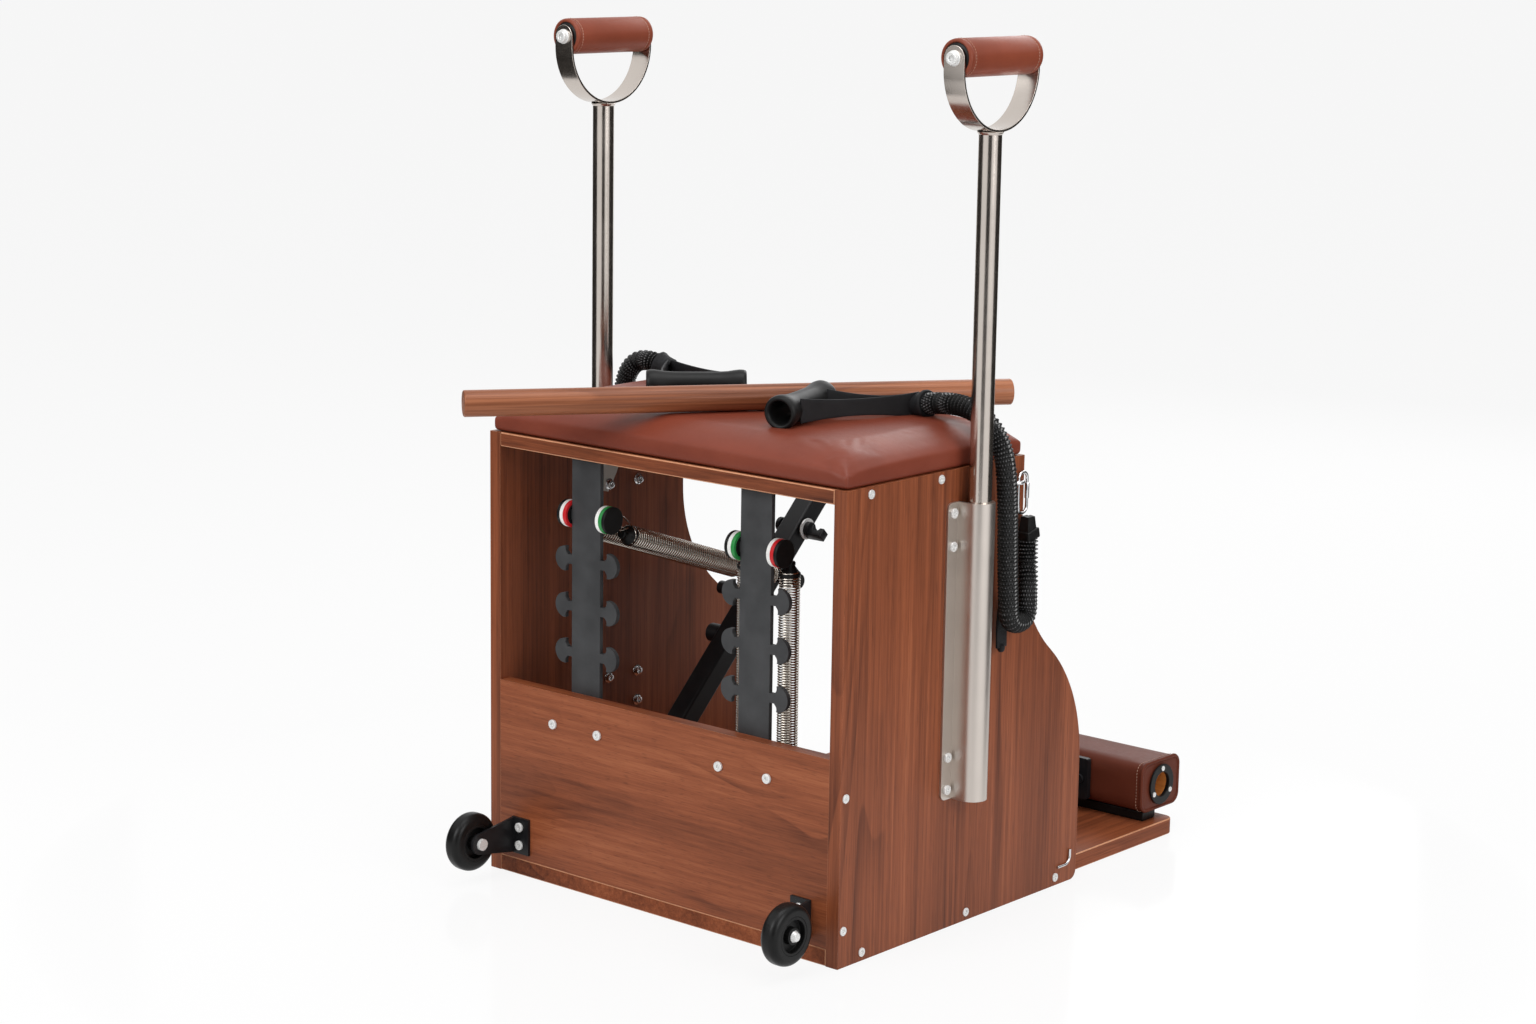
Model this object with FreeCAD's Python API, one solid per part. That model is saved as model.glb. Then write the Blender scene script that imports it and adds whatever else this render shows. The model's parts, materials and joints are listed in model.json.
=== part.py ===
import FreeCAD, Part
import math
import os

# Pilates chair, millimetres. The origin is on the floor under the middle of the carcass.
# The pedals are at -Y, the springs and wheels at +Y. Right is -X and left is +X.

V = FreeCAD.Vector
ORIGIN = V(0, 0, 0)
X_AXIS = V(1, 0, 0)
Y_AXIS = V(0, 1, 0)
Z_AXIS = V(0, 0, 1)

# Fits
cut_overrun = 2.0
fit_gap = 0.3
running_gap = 0.06
shank_gap = 0.1

# Carcass boards
carcass_width = 588.0
carcass_height = 580.0
board = 18.0
base_thickness = 22.0
seat_depth = 348.0
foot_depth = 490.0
base_overhang = 18.0
back_panel_top = 256.0
brow_height = 466.0
hollow_radius = 188.0
swell_radius = 204.0
toe_radius = 12.0
base_corner_radius = 14.0
edge_break = 1.2

# Screws through the sides
screw_head_radius = 5.8
screw_head_height = 1.6
screw_shank_radius = 2.4
screw_length_share = 0.9
seat_screw_shares = (0.13, 0.515, 0.9)
base_screw_shares = (0.092, 0.514, 0.905)
back_screw_shares = (0.18, 0.82)

# Seat cushion
cushion_height = 47.0
cushion_inset = 2.0
cushion_level_shares = (0.0, 0.34, 0.66, 0.87, 0.97, 1.0)
cushion_inset_shares = (0.03, 0.0, 0.08, 0.28, 0.52, 0.74)
cushion_corner_shares = (0.1, 0.1, 0.16, 0.3, 0.32, 0.2)
cushion_dip_shares = (0.02, 0.025, 0.02, 0.012, 0.008, 0.004)

# Angle brackets under the seat board
gusset_width = 30.0
gusset_leg = 60.0
gusset_drop = 78.0
gusset_thickness = 3.0

# Handle poles, sleeves and grips
pole_radius = 14.0
pole_wall = 1.6
pole_depth = 229.0
pole_stand_off = 21.5
sleeve_length = 372.0
sleeve_drop = 40.0
sleeve_sheet = 3.0
channel_wall = 4.6
sleeve_half_span = 38.0
sleeve_corner_radius = 8.0
sleeve_bolt_offset = 28.0
sleeve_bolt_end_gap = 13.0
sleeve_bolt_pitch = 41.0
bolt_radius = 3.0
bolt_head_radius = 6.0
bolt_head_height = 3.4
head_crown_share = 0.66
nut_radius = 5.6
nut_height = 5.0
washer_radius = 8.0
washer_height = 1.4
yoke_width = 30.0
yoke_span = 150.0
yoke_sheet = 3.0
grip_height = 1073.0
yoke_drop = 88.0
grip_radius = 23.0
grip_pin_radius = 4.0
grip_head_radius = 8.0
grip_head_height = 5.0
grip_edge_radius = 5.0

# Spring posts
post_offset = 141.0
post_width = 49.0
post_plate = 6.0
post_foot_height = 68.0
post_foot_half_width = 54.0
post_foot_top = 248.0
post_tab = 32.0
post_bolt_offset = 39.0
post_bolt_height = 214.0
lug_rows_share = (0.738, 0.634, 0.531)
lug_reach = 29.0
lug_head_radius = 16.0
lug_neck = 12.0
lug_notch = 8.0
lug_hollow_radius = 7.0
tongue_reach = 11.0

# Spring pucks on the top row of the posts
puck_drop = 76.0
puck_offset = 33.3
puck_radius = 17.5
puck_width = 16.0
puck_depth = 24.4
puck_hub_radius = 13.5
puck_ring_width = 5.5

# Springs
spring_radius = 12.4
spring_wire_radius = 1.6
spring_lead = 14.0
hung_spring_coil = 262.0
hung_spring_depth = 42.4
drawn_spring_drop = 12.0
hung_spring_turns = 12
drawn_spring_turns = 12
turn_parts = 2
clip_bore = 7.0
clip_rim = 4.5
clip_width = 9.0
clip_shank = 32.0
clip_shank_radius = 4.5
clip_mouth = 7.0
lead_slant_share = 0.65

# Pedal arms and their axle
axle_depth = 72.0
axle_height = 60.0
axle_radius = 10.0
axle_half_length = 208.0
hub_radius = 20.0
hub_width = 62.0
arm_tube = 30.0
arm_wall = 2.5
arm_edge_radius = 3.5
pedal_lift = 45.0
pedal_reach = 660.0
pedal_rise = 10.0
block_width = 26.0
block_length = 60.0
block_top = 84.0
spring_pin_setback = 240.0
spare_pin_setback = 158.0
pin_radius = 6.0
pin_half_length = 52.0
spare_pin_half_length = 22.0
peg_setback = 272.0
peg_radius = 9.0
peg_length = 48.0
bush_setback = 342.0
bush_radius = 12.5
bush_length = 20.0
pin_cap_radius = 10.0
pin_cap_height = 6.0
arm_plate_width = 76.0
arm_plate_height = 58.0
arm_plate = 8.0
arm_bolt_offset = 26.0

# Pedals
pedal_length = 250.0
pedal_depth = 92.0
pedal_height = 70.0
pedal_edge_radius = 13.0
leather = 4.0
pedal_end_fold = 3.0
dowel_radius = 16.5
dowel_bore_gap = 0.5
end_ring_radius = 28.0
end_ring_height = 5.0
strip_width = 30.0

# Dowel laid on the seat
dowel_length = 695.0
dowel_x = -20.0
dowel_y = 116.0
dowel_heading = 53.8
dowel_end_radius = 2.0

# Transport wheels
wheel_radius = 38.0
wheel_width = 24.0
wheel_offset = 267.0
wheel_height = 54.0
wheel_reach = 63.0
wheel_hub_radius = 24.0
wheel_crown_radius = 9.0
wheel_bolt_radius = 4.0
wheel_bolt_head_radius = 7.5
wheel_bolt_head_height = 5.0
wheel_washer = 3.0
bracket_plate = 4.0
bracket_flange = 30.0
bracket_height = 48.0
bracket_end_radius = 14.0
bracket_bolt_half_pitch = 12.0

# Wire hooks low on the sides
hook_wire_radius = 1.8
hook_depth = 446.0
hook_height = 24.0
hook_run = 16.0
hook_bend = 11.0
hook_tip = 8.0

# Resistance bands, their clips, eyes and stirrup handles
band_radius = 12.0
eye_radius = 9.0
eye_wire_radius = 2.5
eye_setback = 17.0
eye_height = 548.0
link_wire_radius = 2.0
link_bend = 9.0
link_length = 34.0
cuff_radius = 10.5
stirrup_grip_radius = 14.5
stirrup_flare_radius = 20.0
stirrup_flare = 16.0
stirrup_bore = 10.0
strap_height = 22.0
strap_sheet = 2.6
ring_radius = 13.5
ring_length = 16.0

# Routes of the bands' centre lines, from the stirrup ring to the cuff, with Y from the seat's front
band_right_route = (
    V(-196, 79, 641), V(-240, 85, 650), V(-288, 84, 642), V(-319, 77, 602), V(-322, 71, 540),
    V(-321, 67, 470), V(-321, 63, 415), V(-321, 59, 378), V(-321, 23, 378), V(-319, 20, 414),
    V(-308, 8, 452), V(-307, 7, 475),
)
band_left_route = (
    V(262, 59, 637), V(288, 63, 646), V(314, 69, 632), V(325, 71, 590), V(325, 70, 530),
    V(322, 67, 470), V(321, 63, 415), V(321, 59, 378), V(321, 23, 378), V(319, 20, 414),
    V(308, 8, 452), V(307, 7, 475),
)
# Ends of the stirrup grips, back end first
grip_right_ends = (V(-137, 279, 643.5), V(-110, 163, 648.2))
grip_left_ends = (V(146, 216, 647.6), V(52, 129, 648.8))

# Places that follow from the sizes
half_width = carcass_width / 2
inner_half = half_width - board
back_y = foot_depth / 2
seat_front_y = back_y - seat_depth
foot_front_y = back_y - foot_depth
panel_inner_y = back_y - board
seat_under = carcass_height - board
pole_x = half_width + pole_stand_off
pole_y = back_y - pole_depth
axle_y = back_y - axle_depth
base_front_y = axle_y - pedal_reach - base_overhang
puck_y = back_y - puck_depth
pedal_bottom = axle_height + pedal_rise - pedal_height / 2
pole_top = grip_height - yoke_drop
sleeve_top = carcass_height - sleeve_drop
sleeve_bottom = sleeve_top - sleeve_length
post_bottom = post_foot_top - post_foot_height
puck_height = seat_under - puck_drop
spring_pin_reach = pedal_reach - spring_pin_setback
spare_pin_reach = pedal_reach - spare_pin_setback
peg_reach = pedal_reach - peg_setback
bush_reach = pedal_reach - bush_setback
eye_y = seat_front_y + eye_setback


def box(x_span, y_span, z_span):
    """A block between two places along each axis."""
    low = V(x_span[0], y_span[0], z_span[0])
    return Part.makeBox(x_span[1] - x_span[0], y_span[1] - y_span[0], z_span[1] - z_span[0], low)


def rod(radius, length, start, axis):
    return Part.makeCylinder(radius, length, start, axis)


def tube_of(radius, bore, length, start, axis):
    """A round tube whose bore runs right through."""
    overrun = axis * cut_overrun
    return rod(radius, length, start, axis).cut(rod(bore, length + 2 * cut_overrun, start - overrun, axis))


def joined(shapes):
    whole = shapes[0]
    for shape in shapes[1:]:
        whole = whole.fuse(shape)
    return whole.removeSplitter()


def line(start, end):
    return Part.LineSegment(start, end).toShape()


def arc(start, middle, end):
    return Part.Arc(start, middle, end).toShape()


def outline_face(edges):
    return Part.Face(Part.Wire(edges))


def ring_point(centre, radius, degrees):
    """A point on a circle in the plane of Y and Z."""
    turn = math.radians(degrees)
    return centre + V(0, radius * math.cos(turn), radius * math.sin(turn))


def edges_along(shape, axis):
    """The straight edges that run along one axis."""
    found = []
    for edge in shape.Edges:
        if len(edge.Vertexes) == 2:
            run = (edge.Vertexes[1].Point - edge.Vertexes[0].Point).normalize()
            if abs(abs(run.dot(axis)) - 1) < edge.Tolerance:
                found.append(edge)
    return found


def rounded(shape, radius, axis):
    return shape.makeFillet(radius, edges_along(shape, axis))


def mirrored(shape):
    """The same piece for the other side of the chair."""
    return shape.mirror(ORIGIN, X_AXIS)


def write(name, *solids):
    """Writes one node, a single solid or a group of separate ones."""
    shape = solids[0] if len(solids) == 1 else Part.makeCompound(list(solids))
    assert shape.isValid(), name
    shape.exportStep("parts/" + name + ".step")


def write_pair(name, shape):
    """Writes the left piece and its mirror image on the right."""
    write(name + "_left", shape)
    write(name + "_right", mirrored(shape))


def domed_bolt(start, axis, shank_radius, length, head_radius, head_height):
    """A button-headed bolt: the head stands on start, the shank runs against the axis."""
    head = Part.makeCone(head_radius, head_radius * head_crown_share, head_height, start, axis)
    return head.fuse(rod(shank_radius, length, start, axis * -1))


def biarc(start, start_way, end, end_way):
    """Two circular arcs that leave one point along a direction and reach another along a second."""
    gap = end - start
    ways = start_way + end_way
    a = 2 * start_way.dot(end_way) - 2
    b = -2 * gap.dot(ways)
    c = gap.dot(gap)
    reach = (-b - math.sqrt(b * b - 4 * a * c)) / (2 * a)
    first = start + start_way * reach
    second = end - end_way * reach
    joint = (first + second) * 0.5
    edges = []
    for near, corner, far in ((start, first, joint), (joint, second, end)):
        middle = (near + far) * 0.5
        half_turn = (far - near).Length / (2 * reach)
        edges.append(arc(near, middle + (corner - middle) * (half_turn / (1 + half_turn)), far))
    return edges


def swept(path, radius):
    """A round wire swept along a path that starts along the path's first direction."""
    first = path.Edges[0]
    start = first.valueAt(first.FirstParameter)
    way = first.tangentAt(first.FirstParameter)
    section = Part.Wire([Part.makeCircle(radius, start, way)])
    return path.makePipeShell([section], True, False)


def least_gap(points, wire_radius, skip):
    """Smallest clear distance between stretches of one wire that aren't neighbours."""
    gaps = []
    for i in range(len(points)):
        for j in range(i + skip, len(points)):
            gaps.append((points[i] - points[j]).Length)
    return min(gaps) - 2 * wire_radius


def coil_spring(name, turns, coil_length):
    """A spring along +Z from its lower lead to its upper lead, both on the axis."""
    steps = turns * turn_parts
    pitch = coil_length / turns
    climb = pitch / (2 * math.pi)

    def place(step):
        turn = step * 2 * math.pi / turn_parts
        point = V(spring_radius * math.cos(turn), spring_radius * math.sin(turn), climb * turn)
        way = V(-spring_radius * math.sin(turn), spring_radius * math.cos(turn), climb)
        return point, way.normalize()

    low_end = V(0, 0, -spring_lead)
    high_end = V(0, 0, coil_length + spring_lead)
    straight = Z_AXIS * (2 * spring_wire_radius)
    edges = [line(low_end - straight, low_end)]
    edges += biarc(low_end, Z_AXIS, *place(0))
    for step in range(steps):
        edges += biarc(*place(step), *place(step + 1))
    edges += biarc(*place(steps), high_end, Z_AXIS)
    edges.append(line(high_end, high_end + straight))
    points = [edge.valueAt(edge.FirstParameter) for edge in edges]
    print(name, "turns", turns, "least gap", round(least_gap(points, spring_wire_radius, 2 * turn_parts), 2))
    return swept(Part.Wire(edges), spring_wire_radius)


def cord_tube(name, route, radius):
    """A tube along straight runs joined by tangent arcs as large as the runs allow."""
    edges = []
    radii = []
    last = route[0]
    for before, corner, after in zip(route, route[1:], route[2:]):
        run_in = corner - before
        run_out = after - corner
        reach = 0.45 * min(run_in.Length, run_out.Length)
        half_turn = run_in.getAngle(run_out) / 2
        radii.append(round(reach / math.tan(half_turn), 1))
        start = corner - run_in.normalize() * reach
        end = corner + run_out.normalize() * reach
        middle = (start + end) * 0.5
        flat = math.cos(half_turn)
        edges.append(line(last, start))
        edges.append(arc(start, middle + (corner - middle) * (flat / (1 + flat)), end))
        last = end
    edges.append(line(last, route[-1]))
    path = Part.Wire(edges)
    solid = swept(path, radius)
    ideal = math.pi * radius * radius * path.Length
    share = round(solid.Volume / ideal, 4)
    print(name, "radii", radii, "length", round(path.Length, 1), "volume share", share)
    return solid


def side_panel():
    """The left side board with its swept front edge, drilled for its screws and bolts."""
    spread = hollow_radius + swell_radius
    swell_height = brow_height - math.sqrt(spread ** 2 - (spread - foot_depth + seat_depth) ** 2)
    hollow = V(inner_half, seat_front_y - hollow_radius, brow_height)
    swell = V(inner_half, foot_front_y + swell_radius, swell_height)
    turn = math.degrees(math.atan2(brow_height - swell_height, swell.y - hollow.y))
    bend = ring_point(hollow, hollow_radius, -turn)
    toe = V(inner_half, foot_front_y + toe_radius, toe_radius)
    corners = (V(inner_half, back_y, 0), V(inner_half, back_y, carcass_height),
               V(inner_half, seat_front_y, carcass_height), V(inner_half, seat_front_y, brow_height))
    edges = [line(corners[0], corners[1]), line(corners[1], corners[2]), line(corners[2], corners[3])]
    edges.append(arc(corners[3], ring_point(hollow, hollow_radius, -turn / 2), bend))
    nose = ring_point(swell, swell_radius, 180)
    front = ring_point(toe, toe_radius, 180)
    sole = ring_point(toe, toe_radius, 270)
    edges.append(arc(bend, ring_point(swell, swell_radius, 180 - turn / 2), nose))
    edges.append(line(nose, front))
    edges.append(arc(front, ring_point(toe, toe_radius, 225), sole))
    edges.append(line(sole, corners[0]))
    panel = outline_face(edges).extrude(X_AXIS * board)
    holes = [rod(screw_shank_radius + shank_gap, board, place, X_AXIS * -1) for place in screw_places()]
    for place in sleeve_bolt_places():
        start = V(inner_half - cut_overrun, place.y, place.z)
        holes.append(rod(bolt_radius + shank_gap, board + 2 * cut_overrun, start, X_AXIS))
    return panel.cut(holes)


def screw_places():
    """Where the screws enter the left side board."""
    places = []
    for share in seat_screw_shares:
        places.append(V(half_width, back_y - share * seat_depth, seat_under + board / 2))
    for share in base_screw_shares:
        places.append(V(half_width, back_y - share * foot_depth, base_thickness / 2))
    for share in back_screw_shares:
        places.append(V(half_width, back_y - board / 2, share * back_panel_top))
    return places


def sleeve_bolt_places():
    """Where the bolts of the left pole sleeve go through the side board."""
    heights = []
    for end, way in ((sleeve_top, -1), (sleeve_bottom, 1)):
        heights.append(end + way * sleeve_bolt_end_gap)
        heights.append(end + way * (sleeve_bolt_end_gap + sleeve_bolt_pitch))
    places = []
    for height in heights:
        for way in (-1, 1):
            places.append(V(half_width, pole_y + way * sleeve_bolt_offset, height))
    return places


def base_board():
    slab = box((-inner_half, inner_half), (base_front_y, back_y), (0, base_thickness))
    front = [edge for edge in edges_along(slab, Z_AXIS) if edge.CenterOfMass.y < foot_front_y]
    return slab.makeFillet(base_corner_radius, front)


def back_panel():
    """The lower board across the back, with holes for the bolts of posts and wheel brackets."""
    panel = box((-inner_half, inner_half), (panel_inner_y, back_y), (base_thickness, back_panel_top))
    holes = []
    for place in panel_bolt_places():
        start = V(place.x, panel_inner_y - cut_overrun, place.z)
        holes.append(rod(bolt_radius + shank_gap, board + 2 * cut_overrun, start, Y_AXIS))
    return panel.cut(holes)


def post_bolt_places():
    places = []
    for centre in (-post_offset, post_offset):
        for way in (-1, 1):
            places.append(V(centre + way * post_bolt_offset, back_y, post_bolt_height))
    return places


def bracket_bolt_places():
    bolt_x = wheel_offset - wheel_width / 2 - wheel_washer - bracket_flange / 2
    places = []
    for side in (-1, 1):
        for way in (-1, 1):
            height = wheel_height + way * bracket_bolt_half_pitch
            places.append(V(side * bolt_x, back_y + bracket_plate, height))
    return places


def panel_bolt_places():
    return post_bolt_places() + bracket_bolt_places()


def cushion():
    """A padded seat: crowned on top, drawn in along its sides and low at its corners."""
    half_x = half_width - cushion_inset
    half_y = seat_depth / 2 - cushion_inset
    middle = V(0, back_y - seat_depth / 2, carcass_height)
    sections = []
    tables = zip(cushion_level_shares, cushion_inset_shares, cushion_corner_shares, cushion_dip_shares)
    for level, inset, corner_share, dip in tables:
        x = half_x - inset * half_y
        y = half_y - inset * half_y
        corner = corner_share * half_y
        sag = dip * half_y
        centre = middle + Z_AXIS * (level * cushion_height)
        edges = []
        for quarter, (long, across) in enumerate(((x, y), (y, x), (x, y), (y, x))):
            turn = FreeCAD.Rotation(Z_AXIS, 90 * quarter)
            start = V(long - corner, across, 0)
            end = V(corner - long, across, 0)
            bend = V(corner - long, across - corner, 0) + V(-1, 1, 0).normalize() * corner
            edges.append(arc(*[centre + turn.multVec(p) for p in (start, V(0, across - sag, 0), end)]))
            edges.append(arc(*[centre + turn.multVec(p) for p in (end, bend, V(-long, across - corner, 0))]))
        sections.append(Part.Wire(edges))
    return Part.makeLoft(sections, True, False)


def gusset():
    """An angle bracket between the left side board and the seat board."""
    near_y = pole_y + sleeve_bolt_offset + washer_radius + fit_gap
    y_span = (near_y, near_y + gusset_width)
    upright = box((inner_half - gusset_thickness, inner_half), y_span, (seat_under - gusset_drop, seat_under))
    level = box((inner_half - gusset_leg, inner_half), y_span, (seat_under - gusset_thickness, seat_under))
    return joined([upright, level])


def pole_sleeve():
    """A folded steel sleeve: two flanges on the side board and a round channel for the pole."""
    bore = pole_radius + fit_gap
    outer = bore + channel_wall
    height = (sleeve_bottom, sleeve_top)
    length = sleeve_top - sleeve_bottom
    y_span = (pole_y - sleeve_half_span, pole_y + sleeve_half_span)
    flange = box((half_width, half_width + sleeve_sheet), y_span, height)
    flange = rounded(flange, sleeve_corner_radius, X_AXIS)
    channel = box((half_width, pole_x), (pole_y - outer, pole_y + outer), height)
    round_part = rod(outer, length, V(pole_x, pole_y, sleeve_bottom), Z_AXIS)
    whole = joined([flange, channel, round_part])
    floor = sleeve_bottom + sleeve_sheet
    hollow = rod(bore, length, V(pole_x, pole_y, floor), Z_AXIS)
    slot = box((half_width - cut_overrun, pole_x), (pole_y - bore, pole_y + bore),
               (floor, sleeve_top + cut_overrun))
    holes = [hollow, slot]
    for place in sleeve_bolt_places():
        start = V(half_width - cut_overrun, place.y, place.z)
        holes.append(rod(bolt_radius + shank_gap, sleeve_sheet + 2 * cut_overrun, start, X_AXIS))
    return whole.cut(holes)


def sleeve_fasteners():
    """Bolts through the left sleeve and side board, each with its washer and nut inside."""
    solids = []
    shank = sleeve_sheet + board + washer_height + nut_height
    for place in sleeve_bolt_places():
        bolt = domed_bolt(place + X_AXIS * sleeve_sheet, X_AXIS, bolt_radius, shank, bolt_head_radius,
                          bolt_head_height)
        inside = V(inner_half, place.y, place.z)
        washer = rod(washer_radius, washer_height, inside, X_AXIS * -1)
        nut = hex_nut(inside - X_AXIS * washer_height, X_AXIS * -1)
        solids.append(joined([bolt, washer, nut]))
    return solids


def hex_nut(start, axis):
    """A nut run up tight on its bolt, so the two are one solid."""
    corners = []
    side = Y_AXIS if abs(axis.dot(Y_AXIS)) < abs(axis.dot(X_AXIS)) else X_AXIS
    for corner in range(7):
        corners.append(start + FreeCAD.Rotation(axis, 60 * corner).multVec(side * nut_radius))
    return Part.Face(Part.makePolygon(corners)).extrude(axis * nut_height)


def handle_frame():
    """The left pole with the bent strap that carries the grip welded on its top."""
    bottom = sleeve_bottom + sleeve_sheet
    length = pole_top - bottom
    pole = rod(pole_radius, length, V(pole_x, pole_y, bottom), Z_AXIS)
    hollow_start = V(pole_x, pole_y, bottom + pole_wall)
    hollow = rod(pole_radius - pole_wall, length - 2 * pole_wall, hollow_start, Z_AXIS)
    half = yoke_span / 2
    centre = V(pole_x - yoke_width / 2, pole_y, pole_top + half)
    top = grip_height + yoke_width / 2
    walls = []
    for radius in (half, half - yoke_sheet):
        start = V(centre.x, pole_y - radius, top)
        bend = V(centre.x, pole_y - radius, centre.z)
        rise = V(centre.x, pole_y + radius, centre.z)
        end = V(centre.x, pole_y + radius, top)
        bow = arc(bend, ring_point(centre, radius, 270), rise)
        edges = [line(start, bend), bow, line(rise, end), line(end, start)]
        walls.append(outline_face(edges).extrude(X_AXIS * yoke_width))
    strap = walls[0].cut(walls[1])
    ends = rod(yoke_width / 2, yoke_span, V(pole_x, pole_y - half, grip_height), Y_AXIS)
    below = box((centre.x, centre.x + yoke_width), (pole_y - half, pole_y + half), (pole_top, grip_height))
    strap = strap.common(ends.fuse(below))
    hole_start = V(pole_x, pole_y - half - cut_overrun, grip_height)
    hole = rod(grip_pin_radius + shank_gap, yoke_span + 2 * cut_overrun, hole_start, Y_AXIS)
    return joined([pole, strap]).cut([hollow, hole])


def grip():
    """The left leather-covered roll, free to turn on its bolt between the strap's ends."""
    length = yoke_span - 2 * yoke_sheet - 2 * fit_gap
    start = V(pole_x, pole_y - length / 2, grip_height)
    roll = rod(grip_radius, length, start, Y_AXIS)
    roll = roll.makeFillet(grip_edge_radius, [edge for edge in roll.Edges if len(edge.Vertexes) == 1])
    bore_start = start - Y_AXIS * cut_overrun
    return roll.cut(rod(grip_pin_radius + running_gap, length + 2 * cut_overrun, bore_start, Y_AXIS))


def grip_bolt():
    """The bolt through the left grip, with a washer and a round head at each end."""
    half = yoke_span / 2
    start = V(pole_x, pole_y - half, grip_height)
    pieces = [rod(grip_pin_radius, yoke_span, start, Y_AXIS)]
    for way in (-1, 1):
        seat = V(pole_x, pole_y + way * half, grip_height)
        pieces.append(rod(grip_head_radius + washer_height, washer_height, seat, Y_AXIS * way))
        outside = seat + Y_AXIS * (way * washer_height)
        pieces.append(domed_bolt(outside, Y_AXIS * way, grip_pin_radius, washer_height, grip_head_radius,
                                 grip_head_height))
    return joined(pieces)


def spring_post():
    """The left steel plate with rows of mushroom lugs on both edges for the springs."""
    half = post_width / 2
    y_span = (panel_inner_y - post_plate, panel_inner_y)
    x_span = (post_offset - half, post_offset + half)
    parts = [box(x_span, y_span, (post_bottom, seat_under))]
    foot_span = (post_offset - post_foot_half_width, post_offset + post_foot_half_width)
    parts.append(box(foot_span, y_span, (post_bottom, post_foot_top)))
    tab_span = (panel_inner_y - post_tab, panel_inner_y)
    parts.append(box(x_span, tab_span, (seat_under - post_plate, seat_under)))
    head_centre = half + lug_reach - lug_head_radius
    for way in (-1, 1):
        for share in lug_rows_share:
            height = share * carcass_height
            neck = sorted((post_offset, post_offset + way * (half + lug_notch + lug_head_radius / 2)))
            parts.append(box(neck, y_span, (height - lug_neck / 2, height + lug_neck / 2)))
            head_place = V(post_offset + way * head_centre, y_span[0], height)
            head = rod(lug_head_radius, post_plate, head_place, Y_AXIS)
            beyond = sorted(post_offset + way * (half + reach) for reach in (lug_notch, lug_reach))
            tall = (height - lug_head_radius, height + lug_head_radius)
            head = head.common(box(beyond, y_span, tall))
            for rise in (-1, 1):
                hollow = height + rise * (lug_neck / 2 + lug_hollow_radius)
                start = V(beyond_edge(way, half), y_span[0] - cut_overrun, hollow)
                head = head.cut(rod(lug_hollow_radius, post_plate + 2 * cut_overrun, start, Y_AXIS))
            parts.append(head)
        tongue = sorted((post_offset, post_offset + way * (half + tongue_reach)))
        parts.append(box(tongue, y_span, (puck_height - lug_neck / 2, puck_height + lug_neck / 2)))
    plate = joined(parts)
    holes = []
    for way in (-1, 1):
        hole_x = post_offset + way * post_bolt_offset
        start = V(hole_x, panel_inner_y - post_plate - cut_overrun, post_bolt_height)
        holes.append(rod(bolt_radius + shank_gap, post_plate + 2 * cut_overrun, start, Y_AXIS))
    return plate.cut(holes)


def beyond_edge(way, half):
    """Where the round hollows beside a lug's neck are centred, out from the post's edge."""
    return post_offset + way * (half + lug_notch - lug_hollow_radius / 2)


def panel_bolts():
    """Bolts through the back panel: four hold the spring posts, four the wheel brackets."""
    solids = []
    for place in post_bolt_places():
        shank = board + post_plate + nut_height
        bolt = domed_bolt(place, Y_AXIS, bolt_radius, shank, bolt_head_radius, bolt_head_height)
        solids.append(bolt.fuse(hex_nut(V(place.x, panel_inner_y - post_plate, place.z), Y_AXIS * -1)))
    for place in bracket_bolt_places():
        shank = bracket_plate + board + nut_height
        bolt = domed_bolt(place, Y_AXIS, bolt_radius, shank, bolt_head_radius, bolt_head_height)
        solids.append(bolt.fuse(hex_nut(V(place.x, panel_inner_y, place.z), Y_AXIS * -1)))
    return solids


def puck_places():
    """Centre of each puck's post-side face, and the way its dark face looks along X."""
    places = {}
    for side, centre in (("right", -post_offset), ("left", post_offset)):
        for way in (-1, 1):
            row = "outer" if way * centre > 0 else "inner"
            near = centre + way * (puck_offset - puck_width / 2)
            places[side + "_" + row] = (V(near, puck_y, puck_height), X_AXIS * way)
    return places


def puck_body(place, way):
    """A dark disc on a hub, slotted over the tongue of its post."""
    hub = rod(puck_hub_radius, puck_width, place, way)
    disc_width = puck_width - 2 * puck_ring_width
    disc = rod(puck_radius, disc_width, place + way * (2 * puck_ring_width), way)
    slot_depth = tongue_reach - puck_offset + (puck_width + post_width) / 2 + fit_gap
    low_x, high_x = sorted((place.x - way.x * cut_overrun, place.x + way.x * slot_depth))
    slot_y = (panel_inner_y - post_plate - fit_gap, panel_inner_y + fit_gap)
    slot_z = (puck_height - lug_neck / 2 - fit_gap, puck_height + lug_neck / 2 + fit_gap)
    return joined([hub, disc]).cut(box((low_x, high_x), slot_y, slot_z))


def puck_ring(place, way, layer):
    """One of a puck's two rings; counted along -X, so that white always lies before the colour."""
    step = layer if way.x < 0 else 1 - layer
    start = place + way * (step * puck_ring_width)
    return tube_of(puck_radius, puck_hub_radius + shank_gap, puck_ring_width, start, way)


def spring_clip(shank):
    """A snap hook whose eye is round the origin and whose shank runs up along Z."""
    outer = clip_bore + clip_rim
    eye = tube_of(outer, clip_bore, clip_width, V(-clip_width / 2, 0, 0), X_AXIS)
    stem = rod(clip_shank_radius, shank - clip_bore - clip_rim / 2, V(0, 0, clip_bore + clip_rim / 2), Z_AXIS)
    half = clip_width / 2 + cut_overrun
    mouth = box((-half, half), (0, outer + cut_overrun), (-clip_mouth, 0))
    return joined([eye, stem]).cut(mouth)


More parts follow.
